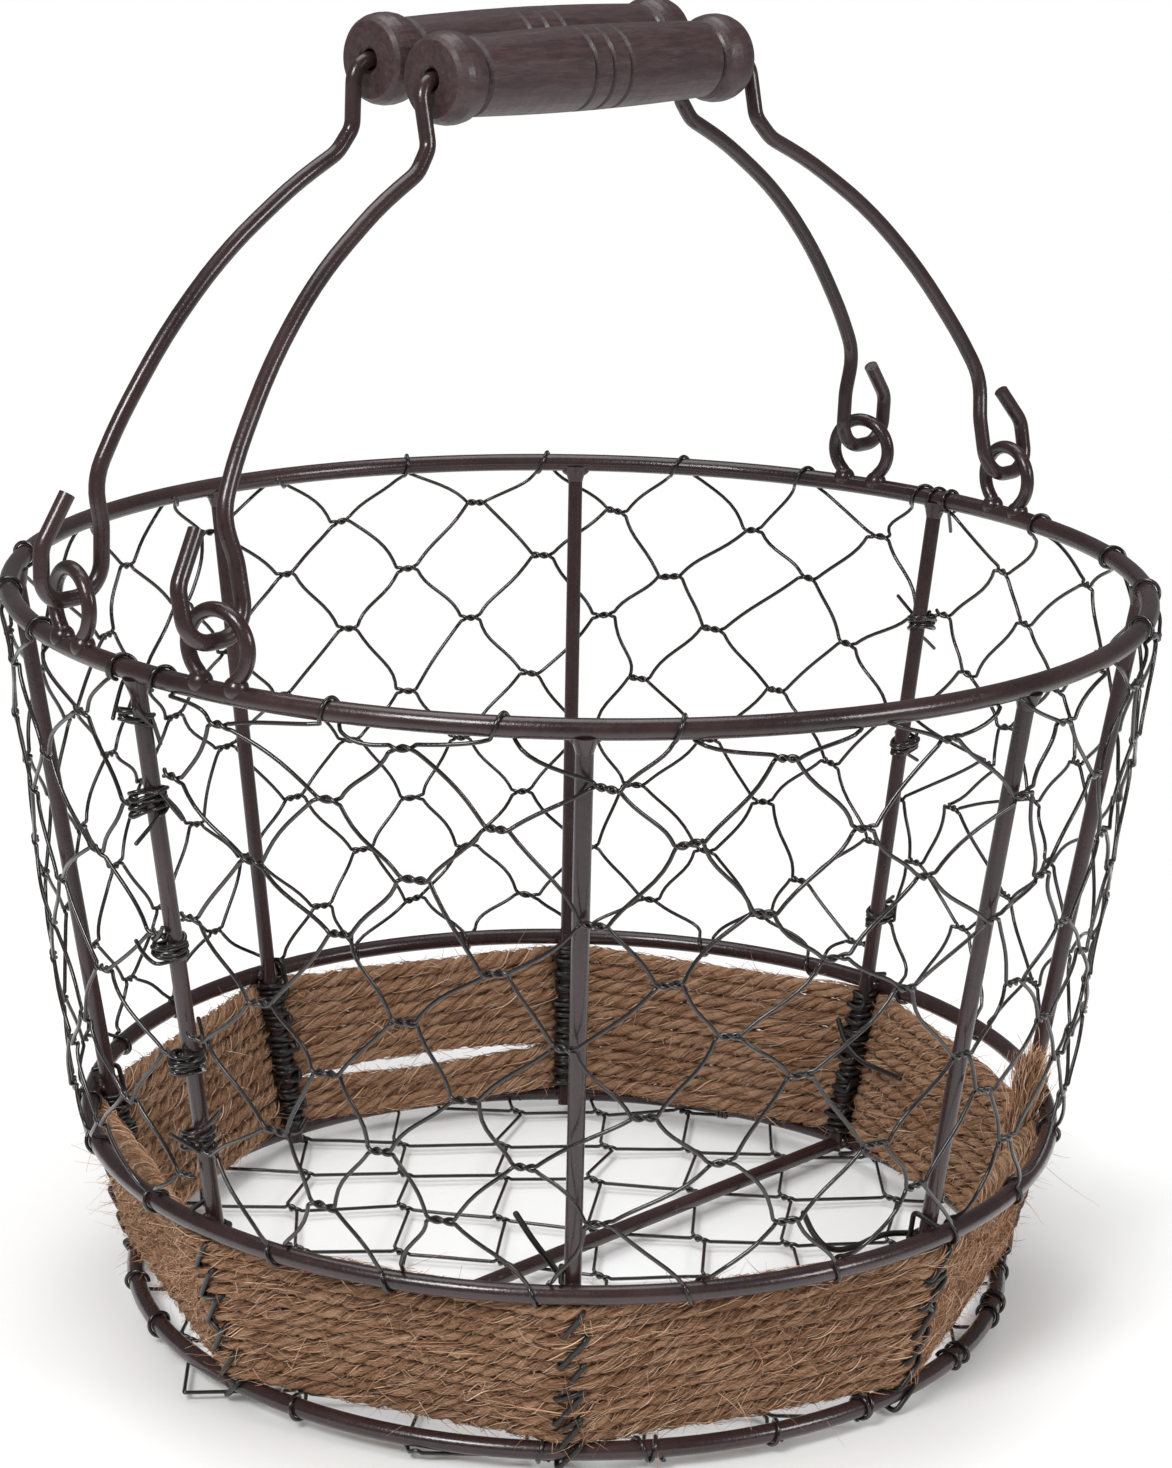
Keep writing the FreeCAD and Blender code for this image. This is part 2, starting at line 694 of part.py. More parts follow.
def make_side_sheet(side, start):
    # half of the side netting: zigzag wires, each in four lengths
    first, rise, turn = (size("%s_net_%s" % (side, name)) for name in ("first", "rise", "turn"))
    step = size("net_step")
    rows = int(round(size("net_rows")))
    sheet_start = start + size("net_edge")
    sheet_end = start + 180 - size("net_edge")
    levels = [max(net_low_z, min(net_high_z, first + rise * (i - 1))) for i in range(rows + 1)]
    count = int((sheet_end - sheet_start) / step) + 3
    columns = [column for column in range(-2, count)
               if sheet_start + NET_MARGIN < turn + column * step < sheet_end - NET_MARGIN]
    quarter = int(math.ceil(len(columns) / 4.0))
    wires = []
    for row in range(rows):
        low, high = levels[row], levels[row + 1]
        middle = (low + high) / 2
        for q in range(0, len(columns), quarter):
            run = columns[q:q + quarter]
            is_last = q + quarter >= len(columns)
            begin = sheet_start if q == 0 else turn + (run[0] - 0.5) * step
            finish = sheet_end if is_last else turn + (run[-1] + 0.5) * step
            points = [net_point(begin, middle)]
            for column in run:
                is_up = (column + row) % 2 == 0
                z = high - twist_offset if is_up else low + twist_offset
                half_twist = math.degrees(size("net_twist") / 2 / net_radius(z))
                centre = turn + column * step
                points.append(net_point(centre - half_twist, z))
                points.append(net_point(centre + half_twist, z))
            points.append(net_point(finish, middle))
            wires.append(wire_along(filleted(points, NET_BEND), net_r))
    keep_shape("netting_side_" + side, Part.makeCompound(wires))


make_side_sheet("back", 0)
make_side_sheet("front", 180)

# ---------------------------------------------------------------- floor netting
FLOOR_TWIST = 5.5       # length of a floor twist
FLOOR_INNER = 104.0     # radius that bounds the twists
FLOOR_MARGIN = 3.0      # twist centres kept inside that radius, along Y
MIDDLE_STRAND = -1
MIDDLE_END_X = 8.0      # the middle wire's ends each side of the ribs


def floor_strand(index):
    # one zigzag wire running along Y
    pitch, shift = size("floor_pitch_across"), size("floor_shift_across")
    edge, z = size("floor_edge"), size("floor_height")
    x_low = shift + pitch * index + twist_offset
    x_high = shift + pitch * (index + 1) - twist_offset
    front_x = back_x = (x_low + x_high) / 2
    # the wire over the middle ends beside the ribs at both ends of Y, clear of their lashings
    if index == MIDDLE_STRAND:
        front_x, back_x = MIDDLE_END_X, -MIDDLE_END_X
    points = [(front_x, -math.sqrt(edge ** 2 - front_x ** 2), z)]
    for j in range(-12, 12):
        y = size("floor_shift_along") + size("floor_pitch_along") * j
        x = x_low if (index + j) % 2 == 0 else x_high
        limit = math.sqrt(max(0.0, FLOOR_INNER ** 2 - x ** 2))
        if abs(y) < limit - FLOOR_MARGIN:
            points.append((x, y - FLOOR_TWIST / 2, z))
            points.append((x, y + FLOOR_TWIST / 2, z))
    points.append((back_x, math.sqrt(edge ** 2 - back_x ** 2), z))
    return wire_along(filleted(points, NET_BEND), net_r)


keep_shape("netting_floor", Part.makeCompound([floor_strand(i) for i in range(-6, 5)]))

# ---------------------------------------------------------------- netting ties
TIE_GAP = 0.06          # tie clear of the rib
TIE_STEPS = 16          # curve points in a turn
RIGHT_TIES = (70.0, 118.0, 152.0)           # heights
LEFT_TIES = (71.0, 91.0, 120.0, 156.0)


def tie(height):
    # a short coil round the upper part of the rib at +X
    tie_r = size("tie_wire") / 2
    loop = size("rib_wire") / 2 + tie_r + TIE_GAP
    turns, lift = size("tie_turns"), size("tie_pitch")
    points = []
    for i in range(int(turns * TIE_STEPS) + 1):
        angle = 2 * math.pi * i / TIE_STEPS
        points.append(Vector(loop * math.cos(angle), loop * math.sin(angle),
                             lift * i / TIE_STEPS - lift * turns / 2))
    curve = Part.BSplineCurve()
    curve.interpolate(points)
    coil = wire_along(Part.Wire([curve.toShape()]), tie_r)
    coil.rotate(Vector(0, 0, 0), Y_AXIS, math.degrees(upper_lean))
    rib_r = rib_mid_r + (rim_r - rib_mid_r) * (height - mid_z) / (rim_z - mid_z)
    coil.translate(Vector(rib_r, 0, height))
    return coil


keep_shape("netting_ties_right", Part.makeCompound([tie(z) for z in RIGHT_TIES]))
keep_shape("netting_ties_left", Part.makeCompound([turned(tie(z), 180.0) for z in LEFT_TIES]))

# ---------------------------------------------------------------- write
doc.recompute()
for obj in doc.Objects:
    if "Invalid" in obj.State or "Error" in obj.State:
        raise RuntimeError("%s is %s" % (obj.Name, obj.State))
for obj in pieces:
    if obj.Shape.isNull() or not obj.Shape.isValid():
        raise RuntimeError("bad shape " + obj.Label)
for obj in pieces:
    obj.Shape.exportStep("parts/%s.step" % obj.Label)
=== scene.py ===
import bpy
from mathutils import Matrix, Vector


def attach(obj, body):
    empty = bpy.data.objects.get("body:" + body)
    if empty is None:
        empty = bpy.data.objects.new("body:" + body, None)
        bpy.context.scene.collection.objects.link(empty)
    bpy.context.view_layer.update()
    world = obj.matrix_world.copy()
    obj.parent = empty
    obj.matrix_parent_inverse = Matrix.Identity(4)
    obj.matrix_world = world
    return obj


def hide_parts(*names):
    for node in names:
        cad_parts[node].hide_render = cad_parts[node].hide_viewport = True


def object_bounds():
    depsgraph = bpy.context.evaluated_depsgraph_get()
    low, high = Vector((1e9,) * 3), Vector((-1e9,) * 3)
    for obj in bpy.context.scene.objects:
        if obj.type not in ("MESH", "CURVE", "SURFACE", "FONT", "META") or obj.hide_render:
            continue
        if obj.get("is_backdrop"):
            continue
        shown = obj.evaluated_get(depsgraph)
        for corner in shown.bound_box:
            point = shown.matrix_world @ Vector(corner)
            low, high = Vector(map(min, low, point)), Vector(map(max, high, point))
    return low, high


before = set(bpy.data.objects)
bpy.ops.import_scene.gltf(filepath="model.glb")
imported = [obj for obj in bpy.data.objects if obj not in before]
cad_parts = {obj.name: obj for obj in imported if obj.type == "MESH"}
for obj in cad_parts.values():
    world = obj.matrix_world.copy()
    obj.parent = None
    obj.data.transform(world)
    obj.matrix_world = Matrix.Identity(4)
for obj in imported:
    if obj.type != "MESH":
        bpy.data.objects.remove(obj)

import math

import bpy
import numpy as np
from mathutils import Matrix, Vector

START_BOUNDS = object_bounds()
rng = np.random.default_rng(20)
TAU = 2 * math.pi

# ------------------------------------------------------------------ sizes, millimetres, row frame
RIM_R, RIM_Z, RIM_T = 140.0, 186.52, 2.4
MID_R, MID_Z, MID_T = 123.1, 49.12, 2.25
LOW_R, LOW_Z, LOW_T = 112.1, 4.72, 2.25
RIB_MID_R, RIB_LOW_R, RIB_T = 118.83, 107.83, 2.0
SLOPE = math.atan2(MID_R - LOW_R, MID_Z - LOW_Z)
SLOPE_LEN = math.hypot(MID_R - LOW_R, MID_Z - LOW_Z)
ROWS, ROPE_T, FIRST_ROW = 10, 2.28, 4.62
PITCH = (SLOPE_LEN - 2 * FIRST_ROW) / (ROWS - 1)
NET_T = 0.5


def on_slope(n, s):
    return (LOW_R + n * math.cos(SLOPE) + s * math.sin(SLOPE),
            LOW_Z - n * math.sin(SLOPE) + s * math.cos(SLOPE))


def rib_radius(z):
    z = np.asarray(z, float)
    high = RIB_MID_R + (RIM_R - RIB_MID_R) * (z - MID_Z) / (RIM_Z - MID_Z)
    low = RIB_LOW_R + (RIB_MID_R - RIB_LOW_R) * (z - LOW_Z) / (MID_Z - LOW_Z)
    return np.where(z > MID_Z, high, low)


def smooth(t):
    t = np.clip(t, 0, 1)
    return t * t * (3 - 2 * t)


def wobble(t, period, size, seed):
    # smooth deterministic noise along t
    r = np.random.default_rng(seed)
    out = np.zeros_like(np.asarray(t, float))
    for k, part in enumerate((1.0, 0.55, 0.3)):
        out += part * np.sin(TAU * np.asarray(t, float) / (period / (1.7 ** k)) + r.uniform(0, TAU))
    return out * size / 1.85


# ------------------------------------------------------------------ tubes
class Soup:
    """Round wires and fibres gathered into one mesh."""

    def __init__(self):
        self.v, self.q, self.caps, self.fib, self.tone, self.count = [], [], [], [], [], 0

    def add(self, path, radius, sides=8, closed=False, tone=None, spin=0.0, blunt=True, lobes=None):
        p = np.asarray(path, float)
        if p.ndim == 2:
            p = p[None]
        b, n, _ = p.shape
        r = np.broadcast_to(np.asarray(radius, float), (b, n)).copy()
        if blunt and not closed:
            r0, r1 = r[:, :1], r[:, -1:]
            d0 = p[:, 0] - p[:, 1]
            d0 /= np.linalg.norm(d0, axis=1)[:, None] + 1e-12
            d1 = p[:, -1] - p[:, -2]
            d1 /= np.linalg.norm(d1, axis=1)[:, None] + 1e-12
            p = np.concatenate([(p[:, 0] + d0 * r0 * 0.75)[:, None], (p[:, 0] + d0 * r0 * 0.5)[:, None], p,
                                (p[:, -1] + d1 * r1 * 0.5)[:, None], (p[:, -1] + d1 * r1 * 0.75)[:, None]], 1)
            r = np.concatenate([r0 * 0.35, r0 * 0.8, r, r1 * 0.8, r1 * 0.35], 1)
            n += 4
        if closed:
            t = np.roll(p, -1, 1) - np.roll(p, 1, 1)
        else:
            t = np.gradient(p, axis=1)
        t /= np.linalg.norm(t, axis=2)[..., None] + 1e-12
        u = np.zeros_like(p)
        pick = np.where(np.abs(t[:, 0, 2:3]) < 0.9, [[0.0, 0.0, 1.0]], [[1.0, 0.0, 0.0]])
        a = np.cross(t[:, 0], pick)
        a /= np.linalg.norm(a, axis=1)[:, None]
        u[:, 0] = a
        for i in range(1, n):
            a = u[:, i - 1] - t[:, i] * (u[:, i - 1] * t[:, i]).sum(1)[:, None]
            u[:, i] = a / (np.linalg.norm(a, axis=1)[:, None] + 1e-12)
        w = np.cross(t, u)
        ang = TAU * np.arange(sides) / sides
        run = np.concatenate([np.zeros((b, 1)), np.cumsum(np.linalg.norm(np.diff(p, axis=1), axis=2), axis=1)], 1)
        rr = r[:, :, None] * np.ones(sides)
        if lobes is not None:
            m, depth, lay = lobes
            rr = rr * (1 + depth * np.cos(m * (ang[None, None] - TAU * run[:, :, None] / lay)))
        ring = p[:, :, None] + rr[..., None] * (np.cos(ang)[None, None, :, None] * u[:, :, None]
                                                + np.sin(ang)[None, None, :, None] * w[:, :, None])
        f = ang[None, None] - spin * run[:, :, None]
        if tone is None:
            tone = rng.uniform(0, 1, b)
        tone = np.asarray(tone, float)
        if tone.ndim == 2:
            extra = n - tone.shape[1]
            tone = np.pad(tone, ((0, 0), (extra // 2, extra - extra // 2)), mode="edge")[:, :, None]
        else:
            tone = tone.reshape(-1, 1, 1)
        tone = np.broadcast_to(tone, (b, n, sides))
        self.v.append(ring.reshape(-1, 3))
        self.fib.append(np.stack([np.cos(f), np.sin(f), np.broadcast_to(run[:, :, None], f.shape)], -1).reshape(-1, 3))
        self.tone.append(tone.reshape(-1))
        last = n if closed else n - 1
        i, j = np.meshgrid(np.arange(last), np.arange(sides), indexing="ij")
        i2, j2 = (i + 1) % n, (j + 1) % sides
        one = np.stack([i * sides + j, i * sides + j2, i2 * sides + j2, i2 * sides + j], -1).reshape(-1, 4)
        base = self.count + np.arange(b)[:, None, None] * n * sides
        self.q.append((one[None] + base).reshape(-1, 4))
        if not closed:
            for k in range(b):
                s = self.count + k * n * sides
                self.caps.append(list(range(s + sides - 1, s - 1, -1)))
                e = s + (n - 1) * sides
                self.caps.append(list(range(e, e + sides)))
        self.count += b * n * sides

    def mesh(self, name, material, body, replaces=(), slot=None):
        v = np.concatenate(self.v) * 0.001
        q = np.concatenate(self.q)
        me = bpy.data.meshes.new(name)
        caps = np.array([x for c in self.caps for x in c], np.int32)
        sizes = np.concatenate([np.full(len(q), 4, np.int32), np.array([len(c) for c in self.caps], np.int32)])
        loops = np.concatenate([q.ravel().astype(np.int32), caps])
        me.vertices.add(len(v))
        me.vertices.foreach_set("co", v.astype(np.float32).ravel())
        me.loops.add(len(loops))
        me.loops.foreach_set("vertex_index", loops)
        me.polygons.add(len(sizes))
        starts = np.concatenate([[0], np.cumsum(sizes)[:-1]]).astype(np.int32)
        me.polygons.foreach_set("loop_start", starts)
        me.polygons.foreach_set("use_smooth", np.ones(len(sizes), bool))
        me.update(calc_edges=True)
        me.validate()
        at = me.attributes.new("fib", "FLOAT_VECTOR", "POINT")
        at.data.foreach_set("vector", np.concatenate(self.fib).astype(np.float32).ravel())
        at = me.attributes.new("tone", "FLOAT", "POINT")
        at.data.foreach_set("value", np.concatenate(self.tone).astype(np.float32))
        me.materials.append(material)
        ob = bpy.data.objects.new(name, me)
        bpy.context.scene.collection.objects.link(ob)
        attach(ob, body)
        if replaces:
            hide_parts(*replaces)
        return ob


def fillet(points, radius, step=0.35):
    # polyline with rounded corners, resampled
    pts = [np.asarray(p, float) for p in points]
    out = [pts[0]]
    for i in range(1, len(pts) - 1):
        a, b = pts[i - 1] - pts[i], pts[i + 1] - pts[i]
        la, lb = np.linalg.norm(a), np.linalg.norm(b)
        if la < 1e-6 or lb < 1e-6:
            continue
        a, b = a / la, b / lb
        cut = min(radius, 0.47 * la, 0.47 * lb)
        p, q = pts[i] + a * cut, pts[i] + b * cut
        for t in np.linspace(0, 1, 7):
            out.append((1 - t) ** 2 * p + 2 * t * (1 - t) * pts[i] + t * t * q)
    out.append(pts[-1])
    return resample(np.array(out), step)


def resample(p, step):
    d = np.linalg.norm(np.diff(p, axis=0), axis=1)
    keep = np.concatenate([[True], d > 1e-6])
    p = p[keep]
    d = np.linalg.norm(np.diff(p, axis=0), axis=1)
    run = np.concatenate([[0], np.cumsum(d)])
    n = max(2, int(round(run[-1] / step)) + 1)
    t = np.linspace(0, run[-1], n)
    return np.stack([np.interp(t, run, p[:, k]) for k in range(3)], 1)


def chaikin(p, times=1):
    p = np.asarray(p, float)
    for _ in range(times):
        q = np.empty((2 * (len(p) - 1), 3))
        q[0::2] = 0.75 * p[:-1] + 0.25 * p[1:]
        q[1::2] = 0.25 * p[:-1] + 0.75 * p[1:]
        p = np.concatenate([p[:1], q, p[-1:]])
    return p


def polar(r, deg, z):
    a = np.radians(deg)
    return np.stack(np.broadcast_arrays(r * np.cos(a), r * np.sin(a), z), -1)


# ------------------------------------------------------------------ materials
def lin(r, g, b):
    def one(c):
        c /= 255.0
        return c / 12.92 if c <= 0.04045 else ((c + 0.055) / 1.055) ** 2.4
    return (one(r), one(g), one(b), 1.0)


class Mat:
    def __init__(self, name):
        self.m = bpy.data.materials.new(name)
        self.m.use_nodes = True
        self.t = self.m.node_tree
        self.b = self.t.nodes["Principled BSDF"]

    def node(self, kind, **values):
        n = self.t.nodes.new(kind)
        for k, v in values.items():
            if hasattr(n, k) and k not in n.inputs:
                setattr(n, k, v)
            else:
                n.inputs[k.replace("_", " ")].default_value = v
        return n

    def link(self, a, b):
        self.t.links.new(a, b)

    def noise(self, vector, scale, detail=3.0, rough=0.55, distort=0.0):
        n = self.node("ShaderNodeTexNoise")
        n.inputs["Scale"].default_value = scale
        n.inputs["Detail"].default_value = detail
        n.inputs["Roughness"].default_value = rough
        n.inputs["Distortion"].default_value = distort
        if vector is not None:
            self.link(vector, n.inputs["Vector"])
        return n.outputs["Fac"]

    def ramp(self, fac, stops):
        n = self.node("ShaderNodeValToRGB")
        cr = n.color_ramp
        while len(cr.elements) < len(stops):
            cr.elements.new(0.5)
        for e, (pos, col) in zip(cr.elements, stops):
            e.position = pos
            e.color = col
        self.link(fac, n.inputs["Fac"])
        return n.outputs["Color"]

    def span(self, fac, a, b, c, d):
        n = self.node("ShaderNodeMapRange")
        for k, v in zip(("From Min", "From Max", "To Min", "To Max"), (a, b, c, d)):
            n.inputs[k].default_value = v
        self.link(fac, n.inputs["Value"])
        return n.outputs["Result"]

    def mix(self, fac, a, b, mode="MIX"):
        n = self.node("ShaderNodeMix")
        n.data_type = "RGBA"
        n.blend_type = mode
        for sock, v in ((n.inputs[0], fac), (n.inputs[6], a), (n.inputs[7], b)):
            if isinstance(v, (float, int)):
                sock.default_value = v
            elif isinstance(v, tuple):
                sock.default_value = v
            else:
                self.link(v, sock)
        return n.outputs[2]

    def math(self, op, a, b=0.0, c=0.0):
        n = self.node("ShaderNodeMath")
        n.operation = op
        for sock, v in zip(n.inputs, (a, b, c)):
            if isinstance(v, (float, int)):
                sock.default_value = v
            else:
                self.link(v, sock)
        return n.outputs[0]

    def scaled(self, vector, xyz):
        n = self.node("ShaderNodeMapping")
        n.inputs["Scale"].default_value = xyz
        self.link(vector, n.inputs["Vector"])
        return n.outputs["Vector"]

    def bump(self, height, strength, distance, normal=None):
        n = self.node("ShaderNodeBump")
        n.inputs["Strength"].default_value = strength
        n.inputs["Distance"].default_value = distance
        self.link(height, n.inputs["Height"])
        if normal is not None:
            self.link(normal, n.inputs["Normal"])
        return n.outputs["Normal"]

    def set(self, **values):
        for k, v in values.items():
            s = self.b.inputs[k.replace("_", " ")]
            if isinstance(v, (float, int, tuple)):
                s.default_value = v
            else:
                self.link(v, s)


def coated(name, dark, base, light, worn, rough=(0.20, 0.36), peel=0.3, peel_scale=1100.0, coat=0.4):
    m = Mat(name)
    pos = m.node("ShaderNodeTexCoord").outputs["Object"]
    broad = m.noise(pos, 34.0, 4.0, 0.6)
    fine = m.noise(pos, 620.0, 3.0, 0.6)
    colour = m.ramp(broad, [(0.32, dark), (0.52, base), (0.74, light)])
    colour = m.mix(m.span(fine, 0.35, 0.7, 0.0, 0.35), colour, light)
    chips = m.noise(pos, 210.0, 7.0, 0.72, 0.4)
    spot = m.span(chips, 0.66, 0.70, 0.0, 0.55)
    colour = m.mix(spot, colour, worn)
    peel_n = m.noise(pos, peel_scale, 2.0, 0.5)
    grit = m.noise(pos, peel_scale * 3.1, 2.0, 0.6)
    rub = m.noise(pos, 95.0, 5.0, 0.65)
    r = m.span(rub, 0.3, 0.72, rough[0], rough[1])
    r = m.math("ADD", r, m.math("MULTIPLY", spot, 0.18))
    n = m.bump(peel_n, peel, 0.00022)
    n = m.bump(grit, peel * 0.5, 0.00008, n)
    n = m.bump(m.math("MULTIPLY", spot, -1.0), 0.3, 0.0001, n)
    m.set(Base_Color=colour, Roughness=r, Normal=n, Coat_Weight=coat, Coat_Roughness=0.10)
    m.b.inputs["IOR"].default_value = 1.5
    return m.m


coated_wire = coated("coated_wire_powder", lin(33, 20, 21), lin(46, 30, 31), lin(60, 42, 43), lin(98, 78, 72))
netting_wire = coated("netting_wire_coat", lin(20, 15, 15), lin(30, 24, 24), lin(44, 37, 36), lin(92, 82, 76),
                      rough=(0.16, 0.30), peel=0.25, peel_scale=1500.0, coat=0.5)
lashing_wire = coated("lashing_wire_coat", lin(14, 12, 12), lin(21, 18, 18), lin(34, 30, 29), lin(70, 62, 58),
                      rough=(0.30, 0.5), peel=0.35, peel_scale=1300.0, coat=0.15)


def wood_material():
    m = Mat("stained_wood_grain")
    pos = m.node("ShaderNodeTexCoord").outputs["Object"]
    along = m.scaled(pos, (26.0, 150.0, 150.0))
    fibres = m.noise(along, 5.0, 8.0, 0.68, 0.3)
    pores = m.noise(m.scaled(pos, (30.0, 520.0, 520.0)), 3.6, 4.0, 0.6)
    cloud = m.noise(pos, 42.0, 4.0, 0.6)
    colour = m.ramp(fibres, [(0.30, lin(42, 26, 28)), (0.48, lin(60, 41, 43)), (0.62, lin(72, 52, 54)), (0.78, lin(92, 71, 71))])
    colour = m.mix(m.span(pores, 0.56, 0.70, 0.0, 0.7), colour, lin(38, 24, 26))
    colour = m.mix(m.span(cloud, 0.3, 0.75, 0.0, 0.4), colour, lin(58, 40, 43))
    # painted shade: ambient occlusion darkens the grip's grooves and recesses toward a dark brown
    ao = m.node("ShaderNodeAmbientOcclusion")
    ao.samples = 6
    ao.only_local = True
    ao.inputs["Distance"].default_value = 0.004
    painted_groove_shade = m.span(ao.outputs["AO"], 0.35, 0.9, 1.0, 0.0)
    colour = m.mix(m.math("MULTIPLY", painted_groove_shade, 0.75), colour, lin(34, 24, 26))
    geo = m.node("ShaderNodeNewGeometry")
    edge = m.span(geo.outputs["Pointiness"], 0.53, 0.60, 0.0, 0.5)
    colour = m.mix(edge, colour, lin(120, 102, 98))
    scuff = m.noise(m.scaled(pos, (260.0, 60.0, 60.0)), 2.2, 6.0, 0.7)
    r = m.span(scuff, 0.3, 0.72, 0.33, 0.55)
    n = m.bump(fibres, 0.55, 0.00035)
    n = m.bump(pores, 0.4, 0.0002, n)
    m.set(Base_Color=colour, Roughness=r, Normal=n, Coat_Weight=0.35, Coat_Roughness=0.22)
    return m.m


def jute_material():
    m = Mat("jute_fibre")
    fib = m.node("ShaderNodeAttribute", attribute_name="fib").outputs["Vector"]
    tone = m.node("ShaderNodeAttribute", attribute_name="tone").outputs["Fac"]
    pos = m.node("ShaderNodeTexCoord").outputs["Object"]
    streak = m.noise(m.scaled(fib, (2.3, 2.3, 0.22)), 2.6, 6.0, 0.7, 0.15)
    fine = m.noise(m.scaled(fib, (6.0, 6.0, 0.5)), 3.0, 4.0, 0.65)
    patch = m.noise(pos, 46.0, 5.0, 0.65)
    broad = m.noise(pos, 11.0, 2.0, 0.5)
    colour = m.ramp(streak, [(0.32, lin(70, 38, 22)), (0.43, lin(126, 81, 54)), (0.53, lin(178, 130, 98)), (0.66, lin(232, 192, 164))])
    colour = m.mix(m.span(fine, 0.44, 0.64, 0.0, 0.65), colour, lin(230, 192, 158))
    colour = m.mix(m.span(patch, 0.40, 0.70, 0.0, 0.5), colour, lin(158, 104, 66))
    colour = m.mix(m.span(broad, 0.38, 0.68, 0.0, 0.30), colour, lin(140, 92, 60))
    colour = m.mix(m.span(tone, 0.2, 1.0, 0.0, 0.36), colour, lin(232, 192, 156))
    # painted shade: ambient occlusion darkens the rope colour in the gaps between strands and rows
    ao = m.node("ShaderNodeAmbientOcclusion")
    ao.samples = 6
    ao.inputs["Distance"].default_value = 0.0018
    dark = m.span(ao.outputs["AO"], 0.20, 0.78, 0.97, 0.0)
    colour = m.mix(dark, colour, lin(56, 30, 16))
    n = m.bump(streak, 1.0, 0.0009)
    n = m.bump(fine, 0.8, 0.0004, n)
    m.set(Base_Color=colour, Roughness=m.span(fine, 0.3, 0.7, 0.78, 0.95), Normal=n, Sheen_Weight=0.35, Sheen_Roughness=0.5)
    m.b.inputs["Sheen Tint"].default_value = lin(222, 190, 150)
    m.b.inputs["Specular IOR Level"].default_value = 0.25
    return m.m


def hair_material():
    m = Mat("jute_loose_fibre")
    tone = m.node("ShaderNodeAttribute", attribute_name="tone").outputs["Fac"]
    pos = m.node("ShaderNodeTexCoord").outputs["Object"]
    fib = m.node("ShaderNodeAttribute", attribute_name="fib").outputs["Vector"]
    along = m.noise(m.scaled(fib, (1.0, 1.0, 0.4)), 2.0, 3.0)
    colour = m.ramp(tone, [(0.0, lin(104, 60, 36)), (0.35, lin(160, 110, 78)), (0.68, lin(210, 164, 130)), (1.0, lin(246, 214, 186))])
    colour = m.mix(m.span(along, 0.40, 0.7, 0.0, 0.4), colour, lin(176, 126, 88))
    # painted shade: ambient occlusion darkens the loose fibres where the rope and other fibres crowd them
    ao = m.node("ShaderNodeAmbientOcclusion")
    ao.samples = 4
    ao.inputs["Distance"].default_value = 0.0016
    colour = m.mix(m.span(ao.outputs["AO"], 0.18, 0.70, 0.92, 0.0), colour, lin(56, 30, 17))
    n = m.bump(m.noise(pos, 2600.0, 2.0), 0.3, 0.0001)
    m.set(Base_Color=colour, Roughness=m.span(along, 0.3, 0.7, 0.55, 0.8), Normal=n, Sheen_Weight=0.3, Sheen_Roughness=0.5)
    m.b.inputs["Sheen Tint"].default_value = lin(230, 200, 165)
    m.b.inputs["Specular IOR Level"].default_value = 0.3
    return m.m


jute_hair = hair_material()
stained_wood = wood_material()
jute = jute_material()

# ------------------------------------------------------------------ CAD pieces that stay shown
METAL = ["rim_ring", "middle_ring", "base_ring", "base_crossbar", "bail_front", "bail_back"]
METAL += ["rib_%d" % k for k in range(1, 9)]
METAL += ["eyelet_%s_%s" % (a, b) for a in ("left", "right") for b in ("front", "back")]
for name in METAL + ["grip_front", "grip_back"]:
    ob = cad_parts[name]
    ob.data.materials.clear()
    ob.data.materials.append(stained_wood if name.startswith("grip") else coated_wire)
    for poly in ob.data.polygons:
        poly.material_index = 0
        poly.use_smooth = True

# ------------------------------------------------------------------ rope
HALF = math.radians(22.5)
SAG_FROM, SAG_TO = 47.0, 88.0


def loop_radius(az, rho):
    # radius of the rope's path over eight ribs at azimuth az (degrees), lying rho outside the rib centres
    d = np.abs(np.radians(((np.asarray(az) - 22.5) % 45.0) - 22.5))
    turn_at = np.arctan2(rho * math.sin(HALF), RIB_LOW_R + rho * math.cos(HALF))
    corner = RIB_LOW_R * np.cos(d) + np.sqrt(np.maximum(rho ** 2 - (RIB_LOW_R * np.sin(d)) ** 2, 0))
    flat = (RIB_LOW_R * math.cos(HALF) + rho) / np.cos(HALF - d)
    return np.where(d < turn_at, corner, flat)


def band_point(az, s, n):
    # a point of the band s up the slope and n outwards, following the octagon
    r, z = LOW_R + n * math.cos(SLOPE) + s * math.sin(SLOPE), LOW_Z - n * math.sin(SLOPE) + s * math.cos(SLOPE)
    return polar(loop_radius(az, r - RIB_LOW_R), az, z)


STEP = 0.75
A0 = -22.5
total = 360.0 * ROWS - 25.5
count = int(total / 360.0 * TAU * 118 / STEP)
phi = np.linspace(0, total, count)
turn = np.floor(phi / 360.0)
inside = phi - 360.0 * turn
az = A0 + phi
jog = smooth((inside - 330.0) / 30.0)
level = turn + jog
s_mid = FIRST_ROW + PITCH * level
bay = np.sin(np.pi * np.clip(((az % 360.0) - SAG_FROM) / (SAG_TO - SAG_FROM), 0, 1)) ** 0.8
row_no = np.clip(np.round(level), 0, ROWS - 1)
lift = np.array([-0.4, -1.0, -1.7, 2.4, 1.9, 1.5, 1.1, 0.7, 0.35, 0.1])[row_no.astype(int)]
tuck = np.array([0.0, 0.3, -0.2, 0.2, -0.5, 0.5, -0.4, 0.3, 0.0, 0.0])[row_no.astype(int)]
s_mid = s_mid + bay * lift + wobble(phi, 71.0, 0.22, 3) + wobble(phi, 17.0, 0.10, 4)
other = np.sin(np.pi * np.clip(((az % 360.0) - 92.0) / 40.0, 0, 1))
s_mid = s_mid + other * np.array([-0.2, -0.45, 0.5, 0.35, 0.2, 0.1, 0, 0, 0, 0])[row_no.astype(int)]
n_mid = bay * tuck + wobble(phi, 83.0, 0.28, 5) + wobble(phi, 13.0, 0.10, 6)
centre = band_point(az, s_mid, n_mid)

